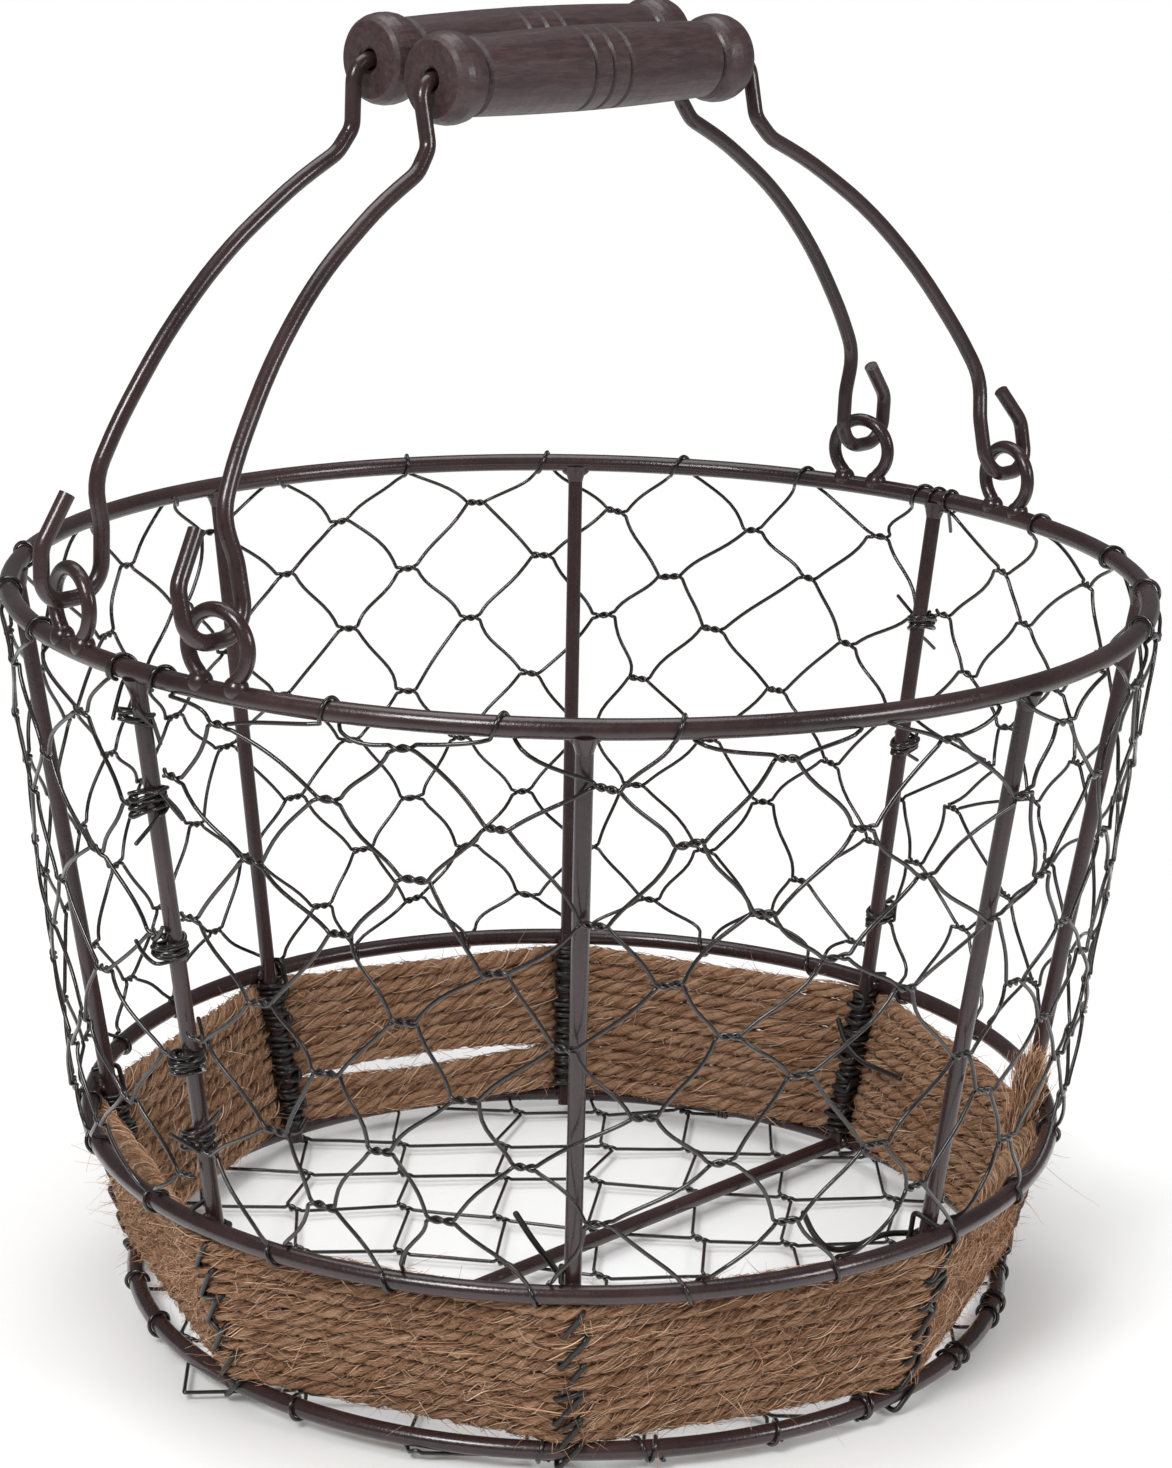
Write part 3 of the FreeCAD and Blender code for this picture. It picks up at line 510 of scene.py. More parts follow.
# the top row ends under a lashing, turned inwards
a_end = float(az[-1])
tail = [centre[-1], polar(118.6, a_end + 2.0, 42.6), polar(115.4, a_end + 3.4, 40.6)]
tail = resample(chaikin(np.array(tail), 2), STEP)[1:]
centre = np.concatenate([centre, tail])

# the rope's cut end comes through between two rows beside that rib, lies up its side and frays out
hank = [polar(116.5, -40.5, 23.0), polar(113.6, -44.5, 22.6), polar(112.3, -47.6, 26.5), polar(113.9, -48.2, 35.0),
        polar(116.0, -48.4, 45.0), polar(117.6, -48.8, 56.0), polar(118.6, -49.2, 64.0)]
hank = resample(chaikin(np.array(hank), 3), STEP)


def laid(centre, rope, spread, seed=1, lay=-17.0):
    # three strands laid round a centreline
    t = np.gradient(centre, axis=0)
    t /= np.linalg.norm(t, axis=1)[:, None]
    ref = centre * np.array([1, 1, 0.0])
    ref /= np.linalg.norm(ref, axis=1)[:, None] + 1e-9
    u = ref - t * (ref * t).sum(1)[:, None]
    u /= np.linalg.norm(u, axis=1)[:, None]
    w = np.cross(t, u)
    run = np.concatenate([[0], np.cumsum(np.linalg.norm(np.diff(centre, axis=0), axis=1))])
    phase = TAU * (run / lay + wobble(run, 73.0, 0.20, seed) + wobble(run, 29.0, 0.06, seed + 4))
    r_s = rope * 0.53
    r_o = (rope - r_s) * spread
    out = []
    for k in range(3):
        a = phase + TAU * k / 3 + wobble(run, 41.0, 0.22, seed + 30 + k)
        wave = 1 + wobble(run, 37.0, 0.10, seed + 9 + k) + wobble(run, 9.0, 0.04, seed + 19 + k)
        out.append(centre + (r_o * wave)[:, None] * (np.cos(a)[:, None] * u + np.sin(a)[:, None] * w))
    return np.array(out), r_s, run, u, w, t, phase


rope = Soup()
strands, r_s, run, u_axis, w_axis, t_axis, lay_phase = laid(centre, ROPE_T, 1.0)
row_ends = [0]
for row in range(1, ROWS):
    row_ends.append(int(np.searchsorted(phi, 360.0 * row - 22.5)))
row_ends.append(len(centre) - 1)
look = []
for k in range(3):
    radius = r_s * (1 + wobble(run, 23.0, 0.10, 40 + k) + wobble(run, 5.5, 0.05, 44 + k) + wobble(run, 2.3, 0.025, 48 + k))
    look.append((radius, 0.5 + wobble(run, 55.0, 0.4, 60 + k) + wobble(run, 13.0, 0.2, 64 + k) + 0.12 * (k - 1)))
for row in range(ROWS):
    rope = Soup()
    part = slice(row_ends[row], row_ends[row + 1] + 1)
    for k in range(3):
        rope.add(strands[k][part], look[k][0][part], sides=15, tone=look[k][1][part][None], spin=TAU / 10.0,
                 lobes=(5, 0.10, 10.0))
    rope.mesh("jute_rope_row_%d" % (row + 1), jute, "basket", ["jute_rope"], "jute")
rope = Soup()
open_out = np.linspace(0, 1, len(hank)) ** 1.3
h_strands, _, h_run, h_u, h_w, h_t, h_phase = laid(hank, ROPE_T * 0.9, 1.0 + 1.0 * open_out, seed=70, lay=-26.0)
for k in range(3):
    radius = r_s * (0.82 - 0.52 * open_out ** 2) * (1 + wobble(h_run, 6.0, 0.10, 80 + k))
    rope.add(h_strands[k], radius, sides=12, tone=(0.7 + wobble(h_run, 9.0, 0.2, 84 + k))[None], spin=TAU / 14.0, lobes=(5, 0.14, 12.0))
rope.mesh("jute_rope_cut_end", jute, "basket", ["jute_rope"], "jute")

BAYS = 8
fuzz = [Soup() for _ in range(BAYS)]


def strew(paths, radius, tone, sides=3):
    # shares batches of loose fibres out between the bays they grow in
    mid = paths[:, 0]
    bay_no = ((np.degrees(np.arctan2(mid[:, 1], mid[:, 0])) + 180.0) // (360.0 / BAYS)).astype(int) % BAYS
    for k in range(BAYS):
        mine = bay_no == k
        if mine.any():
            fuzz[k].add(paths[mine], np.broadcast_to(radius, paths.shape[:2])[mine], sides=sides, tone=tone[mine], blunt=False)


def facing(count):
    # angles round the rope, mostly outwards and inwards, where the neighbouring rows leave it open
    return np.where(rng.uniform(0, 1, count) < 0.62, rng.normal(0, 0.62, count), math.pi + rng.normal(0, 0.62, count))


# fibres that cling to the rope and follow its lay
cling = 19000
m = 6
start = rng.integers(3, len(centre) - 30, cling)
long = rng.gamma(3.0, 2.0, cling) + 2.5
steps = np.linspace(0, 1, m)
idx = np.clip((start[:, None] + steps[None] * long[:, None] / STEP).astype(int), 0, len(centre) - 1)
slope_f = rng.uniform(0.2, 1.35, cling)
ang = facing(cling)[:, None] + slope_f[:, None] * (lay_phase[idx] - lay_phase[start][:, None])
height = ROPE_T * rng.uniform(0.94, 1.04, cling)[:, None] + np.sin(np.pi * steps)[None] * rng.gamma(1.5, 0.16, cling)[:, None] \
    + steps[None] ** 3 * rng.gamma(1.2, 0.35, cling)[:, None]
p = centre[idx] + height[..., None] * (np.cos(ang)[..., None] * u_axis[idx] + np.sin(ang)[..., None] * w_axis[idx])
p += rng.normal(0, 0.08, p.shape)
strew(p, rng.uniform(0.06, 0.125, cling)[:, None] * (1.1 - 0.6 * steps)[None], rng.uniform(0.0, 1.0, cling))

# stray fibres standing off the rope
hairs = 14000
at = rng.integers(4, len(centre) - 1, hairs)
side = facing(hairs)
out = np.cos(side)[:, None] * u_axis[at] + np.sin(side)[:, None] * w_axis[at]
root = centre[at] + out * rng.uniform(1.5, 2.1, hairs)[:, None]
length = rng.gamma(2.0, 1.55, hairs) + 1.0
head = t_axis[at] * rng.choice([-1, 1], hairs)[:, None] * rng.uniform(0.5, 1.6, hairs)[:, None] + out * rng.uniform(0.1, 1.1, hairs)[:, None] \
    + rng.normal(0, 0.35, (hairs, 3))
head /= np.linalg.norm(head, axis=1)[:, None]
bend = rng.normal(0, 0.6, (hairs, 3)) - out * rng.uniform(-0.2, 0.7, hairs)[:, None]
hair = root[:, None] + head[:, None] * (length[:, None] * steps)[..., None] \
    + bend[:, None] * (length[:, None] * steps ** 2 * 0.45)[..., None]
clear = hair[:, :, 2].min(1) > 0.3
hair = hair[clear]
strew(hair, 0.082 * (1.15 - 0.75 * steps)[None] * rng.uniform(0.6, 1.35, len(hair))[:, None], rng.uniform(0.1, 1.0, len(hair)))

# loose yarn wisps lying on the rope, and the frayed brush at the tail's end
wisps = 800
at = rng.integers(30, len(centre) - 60, wisps)
span = int(14 / STEP)
for i in at:
    m = int(rng.integers(span // 2, span * 2))
    m = min(m, len(centre) - i - 2)
    if m < 5:
        continue
    k = np.arange(i, i + m)
    a = facing(1)[0] + rng.uniform(0.0, 1.2) * (lay_phase[k] - lay_phase[i])
    lift_w = ROPE_T * 0.99 + 0.25 * np.sin(np.pi * (k - i) / m) * rng.uniform(0.2, 2.4)
    p = centre[k] + lift_w[:, None] * (np.cos(a)[:, None] * u_axis[k] + np.sin(a)[:, None] * w_axis[k])
    p = p[:: max(1, int(1.2 / STEP))]
    strew(p[None], rng.uniform(0.09, 0.16), np.array([rng.uniform(0.1, 1.0)]), 4)
brush = 760
h_len = float(h_run[-1])
for i in range(brush):
    at_run = h_len * (1.0 - 0.72 * rng.uniform(0, 1) ** 1.2)
    j = int(np.searchsorted(h_run, at_run * 0.999))
    back = int(rng.uniform(6.0, 20.0) / STEP)
    k = np.arange(max(0, j - back), min(j + 1, len(hank)))
    if len(k) < 4:
        continue
    wide, deep = rng.normal(0, 1.75), rng.normal(0, 0.95)
    reach = np.linspace(0.55, 1.15, len(k)) * (0.6 + 0.6 * (h_run[k] / h_len))
    p = hank[k] + (wide * reach)[:, None] * h_u[k] + (deep * reach)[:, None] * h_w[k]
    p = p + np.outer(np.sin(np.linspace(0, rng.uniform(2, 7), len(k))), rng.normal(0, 0.35, 3))
    # the free end
    go = (p[-1] - p[-3]) / np.linalg.norm(p[-1] - p[-3])
    free = np.linspace(0, 1, 6)[1:, None] * rng.uniform(0.8, 5.5)
    free = p[-1] + go * free + rng.normal(0, 0.05, 3) * free ** 2
    p = np.concatenate([p, free])
    p = p[:: max(1, len(p) // 14)]
    strew(p[None], (rng.uniform(0.09, 0.18) * np.linspace(1.1, 0.5, len(p)))[None], np.array([rng.uniform(0.25, 1.0)]), 4)
for k in range(BAYS):
    fuzz[k].mesh("jute_rope_fuzz_%d" % (k + 1), jute_hair, "basket", (), "jute")

# ------------------------------------------------------------------ lashings
levels = [-3.3, 3.3] + [FIRST_ROW + PITCH * (k + 0.5) for k in range(1, ROWS - 1, 2)] + [SLOPE_LEN - 3.3]
RIB_N = (RIB_LOW_R - LOW_R) * math.cos(SLOPE)
LASH_T = 0.74
OUT_N, IN_N, HALF_W = 2.75, -7.2, 2.7


def lashing_points(az, seed):
    r_ = np.random.default_rng(seed)

    def pt(t, n, s, loose=1.0):
        r, z = on_slope(n, s)
        t += r_.normal(0, 0.55) * loose
        x, y = r, t
        a = math.radians(az)
        return np.array([x * math.cos(a) - y * math.sin(a), x * math.sin(a) + y * math.cos(a), z + r_.normal(0, 0.3) * loose])

    pts = [pt(-HALF_W, IN_N + 3.0, levels[0], 0), pt(-HALF_W, OUT_N, levels[0], 0)]
    for k, up in enumerate(levels[1:]):
        low = 0.0 if k == 0 else 1.0
        o = OUT_N - r_.uniform(0.0, 0.35) * low
        pts.append(pt(HALF_W, o, up))
        pts.append(pt(HALF_W, IN_N, up))
        if k and k < len(levels) - 1:
            # a turn round the rib alone before the wire goes out again
            pts.append(pt(-HALF_W, IN_N, up - 0.7))
            pts.append(pt(-HALF_W - 0.2, -1.6, up - 1.6))
            pts.append(pt(HALF_W + 0.2, -1.6, up - 2.6))
            pts.append(pt(HALF_W, IN_N - 0.3, up - 3.4))
            pts.append(pt(-HALF_W, IN_N - 0.2, up - 4.1))
            pts.append(pt(-HALF_W, IN_N + 0.4, up - 1.4))
        else:
            pts.append(pt(-HALF_W, IN_N, up))
        if up < levels[-1]:
            pts.append(pt(-HALF_W, o, up - 0.6 * low))
    pts.append(pt(-HALF_W, IN_N, SLOPE_LEN + 3.3, 0.3))
    pts.append(pt(-HALF_W, -0.5, SLOPE_LEN + 3.3, 0.3))
    return pts


# extra lengths of wire that stick out of the lashings: (rib, [(azimuth, radius, z), ...])
TAILS = {
    1: [(-134.6, 112.2, 43.5), (-137.0, 111.0, 50.0), (-139.6, 112.0, 57.0), (-141.6, 114.0, 64.5)],
    2: [(-89.0, 112.0, 45.5), (-93.0, 110.0, 47.0), (-98.5, 110.5, 46.0), (-102.5, 111.5, 48.0), (-105.2, 112.5, 53.5), (-107.0, 113.5, 60.0)],
    4: [(1.0, 109.5, 41.0), (-1.6, 107.0, 36.0), (-5.0, 106.0, 33.0), (-9.5, 106.5, 32.6), (-14.5, 106.0, 33.4)],
    6: [(91.0, 101.5, 12.0), (93.5, 100.0, 9.5), (96.5, 99.0, 11.5)],
}
for k in range(1, 9):
    az_k = 45.0 * (k - 1) - 135.0
    lash = Soup()
    lash.add(fillet(lashing_points(az_k, 100 + k), 1.6, 0.4), LASH_T * 0.9, sides=10)
    # a second length of wire crosses the first here and there
    r_x = np.random.default_rng(300 + k)
    for up in r_x.choice(levels[2:-1], 2, replace=False):
        lean, side, half_turn = r_x.uniform(1.2, 3.6), r_x.choice([-1, 1]), r_x.uniform(2.4, 3.6)
        a = math.radians(az_k)
        cross = []
        for t, n, s_at in ((side * half_turn, -1.5, up - lean - 0.8), (side * half_turn, OUT_N - 0.9, up - lean), (side * 0.9, OUT_N - 0.1, up - lean * 0.4),
                           (-side * 1.2, OUT_N - 0.15, up + 0.2), (-side * half_turn, OUT_N - 0.9, up + 0.4), (-side * half_turn, -1.5, up + 0.9)):
            r, z = on_slope(n, s_at)
            cross.append((r * math.cos(a) - t * math.sin(a), r * math.sin(a) + t * math.cos(a), z))
        lash.add(fillet(cross, 1.6, 0.4), LASH_T * 0.9, sides=8)
    # close turns of the wire round the rib alone, inside the rope
    s_c = np.arange(4.5, SLOPE_LEN - 2.0, 0.06)
    turn_c = TAU * (s_c / 2.1 + wobble(s_c, 11.0, 0.35, 400 + k) + wobble(s_c, 5.0, 0.10, 420 + k))
    r_c, z_c = on_slope(RIB_N, s_c)
    out_c = RIB_T + LASH_T * 0.9 + 0.08 + wobble(s_c, 3.7, 0.10, 440 + k)
    a = math.radians(az_k)
    x_c, y_c = r_c + out_c * np.cos(turn_c), out_c * np.sin(turn_c)
    coil = np.stack([x_c * math.cos(a) - y_c * math.sin(a), x_c * math.sin(a) + y_c * math.cos(a), z_c + wobble(s_c, 1.9, 0.12, 460 + k)], 1)
    lash.add(resample(coil, 0.55), LASH_T * 0.9, sides=8)
    if k in TAILS:
        pts = np.array([polar(r, a, z) for a, r, z in TAILS[k]])
        lash.add(resample(chaikin(pts, 3), 0.5), LASH_T, sides=10)
    lash.mesh("lashing_%d_wire" % k, lashing_wire, "basket", ["lashing_%d" % k], "lashing_wire")

# ------------------------------------------------------------------ side netting
NET_LOW = (125.9, 49.52)
NET_HIGH = (142.95, 185.92)
TIES = {180.0: [(71.0, 4), (91.0, 5), (120.0, 5), (156.0, 6)], 0.0: [(70.0, 3), (118.0, 4), (152.0, 4)]}


def net_radius(az, z):
    az, z = np.broadcast_arrays(np.asarray(az, float), np.asarray(z, float))
    r = NET_LOW[0] + (NET_HIGH[0] - NET_LOW[0]) * (z - NET_LOW[1]) / (NET_HIGH[1] - NET_LOW[1])
    for tie_az, ties in TIES.items():
        for tie_z, _ in ties:
            gap = NET_LOW[0] + (NET_HIGH[0] - NET_LOW[0]) * (tie_z - NET_LOW[1]) / (NET_HIGH[1] - NET_LOW[1]) - float(rib_radius(tie_z))
            da = (az - tie_az + 180.0) % 360.0 - 180.0
            r = r - (gap - 3.3) * np.exp(-((da * 2.25) ** 2 + (z - tie_z) ** 2) / (2 * 10.0 ** 2))
    return r


FRONT = [
    (1, [(181.8, 69.6), (198.6, 66.5), (211.5, 67.6), (227.4, 68.7), (246.9, 66.0), (262.7, 67.6), (277.7, 69.9), (347.7, 72.0), (359.7, 68.0)]),
    (2, [(176.9, 80.6), (193.6, 83.0), (205.4, 83.1), (219.9, 82.7), (239.4, 82.9), (256.4, 81.7), (271.4, 86.9), (356.9, 85.3)]),
    (3, [(200.0, 100.4), (214.2, 98.4), (231.4, 95.3), (246.9, 102.9), (266.7, 98.8), (352.2, 103.3)]),
    (4, [(178.9, 111.1), (192.9, 114.4), (208.4, 116.1), (223.6, 112.3), (239.2, 114.4), (257.7, 120.2), (347.4, 118.5)]),
    (5, [(202.4, 135.4), (217.1, 129.7), (233.2, 127.6), (249.3, 130.8), (268.3, 131.8), (282.0, 122.9)]),
    (6, [(193.6, 149.1), (209.8, 150.6), (226.0, 142.0), (241.6, 143.6), (258.3, 147.1), (275.5, 138.8), (352.9, 140.6)]),
    (7, [(202.0, 167.0), (217.3, 163.9), (234.3, 160.8), (250.8, 161.2), (270.0, 161.4), (344.8, 158.8), (357.6, 154.9)]),
    (8, [(191.3, 180.1), (209.3, 180.8), (226.8, 174.0), (242.5, 179.5), (259.0, 179.3), (334.3, 175.2), (349.8, 170.5)]),
]
BACK = [
    (1, [(34.3, 60.2), (50.4, 60.5), (65.4, 61.3), (78.5, 63.0)]),
    (2, [(13.9, 71.6), (42.6, 74.6), (58.3, 75.6), (72.3, 77.4)]),
    (3, [(3.6, 87.5), (20.0, 92.4), (36.8, 93.5), (51.1, 90.9), (65.4, 90.7), (81.4, 95.5)]),
    (4, [(11.3, 106.8), (27.6, 108.4), (58.9, 107.2), (73.3, 109.3), (91.0, 113.8)]),
    (5, [(19.3, 124.9), (36.7, 124.5), (50.1, 125.3), (65.6, 121.7)]),
    (6, [(10.7, 141.2), (27.9, 140.3), (41.3, 142.4), (57.4, 141.7), (72.8, 141.1)]),
    (7, [(16.6, 157.9), (33.4, 154.4), (48.7, 159.3), (65.0, 156.7), (80.5, 158.5), (95.8, 155.8), (108.9, 153.6)]),
    (8, [(8.0, 172.5), (23.9, 169.5), (40.1, 172.3), (56.4, 174.6), (73.0, 171.5), (90.5, 173.5), (104.0, 169.9)]),
]


def lattice(first_z, rise, turn_deg, step, columns, seen, seed):
    # twist centres (column, level) -> (azimuth, height), bent to where the wires really run
    r_ = np.random.default_rng(seed)
    base = {(c, l): np.array([turn_deg + step * c, first_z + rise * (l - 1)])
            for c in range(columns) for l in range(0, 10) if (c + l) % 2}
    scale = np.array([2.3, 1.0])
    moved = {}
    for l, pts in seen:
        for p in pts:
            p = np.array(p)
            best = min((k for k in base if k[1] == l), key=lambda k: np.linalg.norm((base[k] - p) * scale))
            if np.linalg.norm((base[best] - p) * scale) < 19.0:
                moved[best] = p - base[best]
    out = {}
    for k, b in base.items():
        if k in moved:
            out[k] = b + moved[k]
            continue
        num, den = np.zeros(2), 0.35
        for q, d in moved.items():
            w = math.exp(-np.sum(((base[q] - b) * scale) ** 2) / (2 * 24.0 ** 2))
            num += w * d
            den += w
        out[k] = b + num / den + r_.normal(0, 1, 2) * np.array([0.75, 1.35])
    for (c, l), p in out.items():
        if l == 0:
            p[1] = MID_Z
        if l == 9:
            p[1] = RIM_Z
    return out


def twist(middle, across, up, outward, length, turns, phase, offset, n):
    # one of two wires wound round each other along `across`
    t = np.linspace(-0.5, 0.5, n)
    a = phase + TAU * turns * (t + 0.5)
    offset = (offset * (1.0 + 0.55 * np.abs(2 * t) ** 5))[:, None]
    return middle + np.outer(t * length, across) + offset * (np.outer(np.cos(a), up) + np.outer(np.sin(a), outward))


def ring_wrap(az0, az1, big_r, big_z, thick, start, sweep, n=26):
    # a wire passing round a ring: start and sweep in degrees, 0 outside, 90 on top
    t = np.linspace(0, 1, n)
    ang = start + sweep * t
    az = az0 + (az1 - az0) * t
    rr = thick + NET_T + 0.08
    a = np.radians(ang)
    return polar(big_r + rr * np.cos(a), az, big_z + rr * np.sin(a))


def sheet(nodes, columns, name, replaces, seed):
    r_ = np.random.default_rng(seed)
    soup = Soup()
    twist_len = {k: r_.uniform(5.2, 7.0) for k in nodes}
    tilt = {k: r_.normal(0, 0.10) for k in nodes}
    phase0 = {k: r_.uniform(-0.5, 0.5) for k in nodes}
    turns = {k: r_.choice([1.5, 2.0, 2.0]) for k in nodes}
    for row in range(9):
        parts = []
        for c in range(columns):
            up_here = (c + row) % 2 == 0
            key = (c, row + 1) if up_here else (c, row)
            if key not in nodes:
                continue
            a_, z_ = nodes[key]
            if key[1] == 9:
                w = ring_wrap(a_ - 0.9 + r_.normal(0, 0.3), a_ + 1.1 + r_.normal(0, 0.4), RIM_R, RIM_Z, RIM_T, -62.0, 325.0 + r_.normal(0, 8))
                if abs(abs((a_ + 180.0) % 360.0 - 180.0) - 90.0) < 22.0:
                    # where a folded grip comes down, the end goes under the rim and up its inner side, not over the top
                    w = ring_wrap(a_ - 0.9, a_ + 1.1, RIM_R, RIM_Z, RIM_T, -62.0, -118.0)
                parts.append((w, a_, z_))
                continue
            if key[1] == 0:
                w = ring_wrap(a_ - 0.9 + r_.normal(0, 0.3), a_ + 1.1 + r_.normal(0, 0.4), MID_R, MID_Z, MID_T, 55.0, -318.0 + r_.normal(0, 8))
                parts.append((w, a_, z_))
                continue
            rad = float(net_radius(a_, z_))
            mid = polar(rad, a_, z_)
            ar = math.radians(a_)
            outward = np.array([math.cos(ar), math.sin(ar), -0.124])
            outward /= np.linalg.norm(outward)
            across = np.array([-math.sin(ar), math.cos(ar), 0.0])
            upv = np.cross(across, outward)
            upv *= np.sign(upv[2])
            across_t = across * math.cos(tilt[key]) + upv * math.sin(tilt[key])
            up_t = upv * math.cos(tilt[key]) - across * math.sin(tilt[key])
            start = math.pi if up_here else 0.0
            w = twist(mid, across_t, up_t, outward, twist_len[key], 1.0 + (key[0] * 7 + key[1] * 3) % 5 * 0.07, start + phase0[key], NET_T * 1.02, 25)
            parts.append((w, a_, z_))
        path = []
        for i, (w, a_, z_) in enumerate(parts):
            if i:
                p0, p1 = path[-1][-1], w[0]
                az0, az1 = math.degrees(math.atan2(p0[1], p0[0])), math.degrees(math.atan2(p1[1], p1[0]))
                az1 = az0 + ((az1 - az0 + 180.0) % 360.0 - 180.0)
                z0, z1 = p0[2], p1[2]
                rad0, rad1 = math.hypot(p0[0], p0[1]), math.hypot(p1[0], p1[1])
                t = np.linspace(0, 1, 9)[1:-1]
                azs = az0 + (az1 - az0) * t
                zs = z0 + (z1 - z0) * t
                lin_r = rad0 + (rad1 - rad0) * t
                nat = net_radius(azs, zs)
                blend_r = np.sin(np.pi * t) ** 0.5
                rr = lin_r * (1 - blend_r) + np.maximum(nat, lin_r - 0.4) * blend_r
                bow = r_.normal(0, 0.8)
                zs = zs + bow * np.sin(np.pi * t)
                steep = 1.0 if z1 > z0 else -1.0
                azs = azs + r_.normal(0, 0.30) * np.sin(np.pi * t) - r_.uniform(0.05, 0.42) * np.sin(TAU * t)
                rr = rr + r_.normal(0.1, 0.35) * np.sin(np.pi * t)
                path.append(polar(rr, azs, zs))
            path.append(w)
        p = np.concatenate(path)
        p = chaikin(resample(p, 0.55), 1)
        soup.add(p, NET_T * r_.uniform(0.96, 1.04), sides=9)
    return soup


front_nodes = lattice(67.7, 15.7, 182.5, 8.15, 23, FRONT, 31)
back_nodes = lattice(60.4, 16.0, 0.0, 8.1, 23, BACK, 32)
front_soup = sheet(front_nodes, 23, "netting_front", None, 51)
back_soup = sheet(back_nodes, 23, "netting_back", None, 52)
front_soup.mesh("netting_side_front_woven", netting_wire, "basket", ["netting_side_front"], "netting_wire")
back_soup.mesh("netting_side_back_woven", netting_wire, "basket", ["netting_side_back"], "netting_wire")

# ------------------------------------------------------------------ ties at the two seams
def tie(soup, az, z, turns, seed, squeeze=0.0):
    r_ = np.random.default_rng(seed)
    a = math.radians(az)
    e_r, e_t = np.array([math.cos(a), math.sin(a), 0]), np.array([-math.sin(a), math.cos(a), 0])
    r_in = float(rib_radius(z))
    r_out = float(net_radius(az, z))
    mid, half = (r_in + r_out) / 2, (r_out - r_in) / 2
    n = int(turns * 26)
    t = np.linspace(0, 1, n)
    ang = r_.uniform(0, TAU) + TAU * turns * t
    a_r = half + RIB_T + 0.75 + 0.35 * np.sin(ang * 0.37 + 1.0) + 0.3 * r_.uniform(0, 1)
    a_t = RIB_T + 0.75 + 0.4 * np.sin(ang * 0.23 + r_.uniform(0, 6))
    climb = (t - 0.5) * turns * r_.uniform(0.9, 1.25) + wobble(ang, 4.3, 0.7, seed + 1)
    lean = r_.normal(0, 0.22)
    cr, ct = a_r * np.cos(ang), a_t * np.sin(ang)
    p = np.outer(mid + cr, e_r) + np.outer(ct, e_t)
    p[:, 2] = z + climb + lean * cr + r_.normal(0, 0.15) * ct
    ends = []
    for sign, q, q2 in ((-1, p[0], p[1]), (1, p[-1], p[-2])):
        d = q - q2
        d /= np.linalg.norm(d)
        go = d * 0.8 + np.array([0, 0, r_.choice([-1, 1]) * r_.uniform(0.5, 1.2)]) + e_r * r_.uniform(0.0, 0.7)
        go /= np.linalg.norm(go)
        long = r_.uniform(4.0, 9.5)
        s_ = np.linspace(0, 1, 8)[1:]
        e = q + d * (1.2 * np.sin(s_ * 1.6))[:, None] + go * (long * s_ ** 1.3)[:, None] + r_.normal(0, 0.8, 3) * (s_ ** 2)[:, None]
        ends.append(e if sign > 0 else e[::-1])
    soup.add(chaikin(np.concatenate([ends[0], p, ends[1]]), 1), NET_T * 1.02, sides=8)


for az_t, label, body_node in ((180.0, "netting_ties_left", 8), (0.0, "netting_ties_right", 4)):
    soup = Soup()
    for i, (z_t, turns_t) in enumerate(TIES[az_t]):
        tie(soup, az_t, z_t, turns_t, 700 + 10 * i + int(az_t))
    # the messy wrap where the seam meets the rim, and the last cut ends
    if az_t > 90:
        tie(soup, az_t, 176.0, 3, 950)
    for j in range(1):
        a_j = az_t + (-2.4 + 3.4 * j)
        w = ring_wrap(a_j, a_j + 0.7, RIM_R, RIM_Z, RIM_T, -75.0 + 25 * j, 350.0 + 50 * j, 36)
        s_ = np.linspace(0, 1, 9)[1:, None]
        way = w[-1] - w[-2]
        way /= np.linalg.norm(way)
        tip = w[-1] + way * 1.6 * s_ + polar(1.0, a_j + 40 - 60 * j, -1.4) * (5.0 - 1.2 * j) * s_ ** 1.5
        soup.add(chaikin(np.concatenate([w, tip]), 1), NET_T, sides=8)
    soup.mesh(label + "_coils", netting_wire, "basket", [label], "netting_wire")

# ------------------------------------------------------------------ floor netting
FLOOR_SEEN = [(22, 88.3), (7.9, 71.1), (-7.9, 54.3), (-28.2, 33.6), (63.3, 83.1), (42.4, 67.7), (26.5, 51.4), (6.3, 31.5), (-13.3, 10.6),
              (78.3, 60.3), (63.1, 46.4), (43.6, 32.3), (18.8, 8.5), (-0.4, -12.9), (90.3, 39.2), (74.8, 19.7), (35.7, -14.4),
              (92.1, -5.4), (69.3, -16.2), (50.4, -33)]
floor_base = {(i, j): np.array([7 + 18.0 * i, 31 + 20.5 * j]) for i in range(-8, 8) for j in range(-8, 6) if (i + j) % 2 == 0}
moved = {}
for p in FLOOR_SEEN:
    p = np.array(p, float)
    best = min(floor_base, key=lambda k: np.linalg.norm(floor_base[k] - p))
    if np.linalg.norm(floor_base[best] - p) < 11.0:
        moved[best] = p - floor_base[best]
floor_nodes = {}
r_floor = np.random.default_rng(77)
for k, b in floor_base.items():
    num, den = np.zeros(2), 0.4
    for q, d in moved.items():
        w = math.exp(-np.sum((floor_base[q] - b) ** 2) / (2 * 22.0 ** 2))
        num += w * d
        den += w
    floor_nodes[k] = b + (moved[k] if k in moved else num / den + r_floor.normal(0, 1.1, 2))
floor = Soup()
FLOOR_Z = 1.92
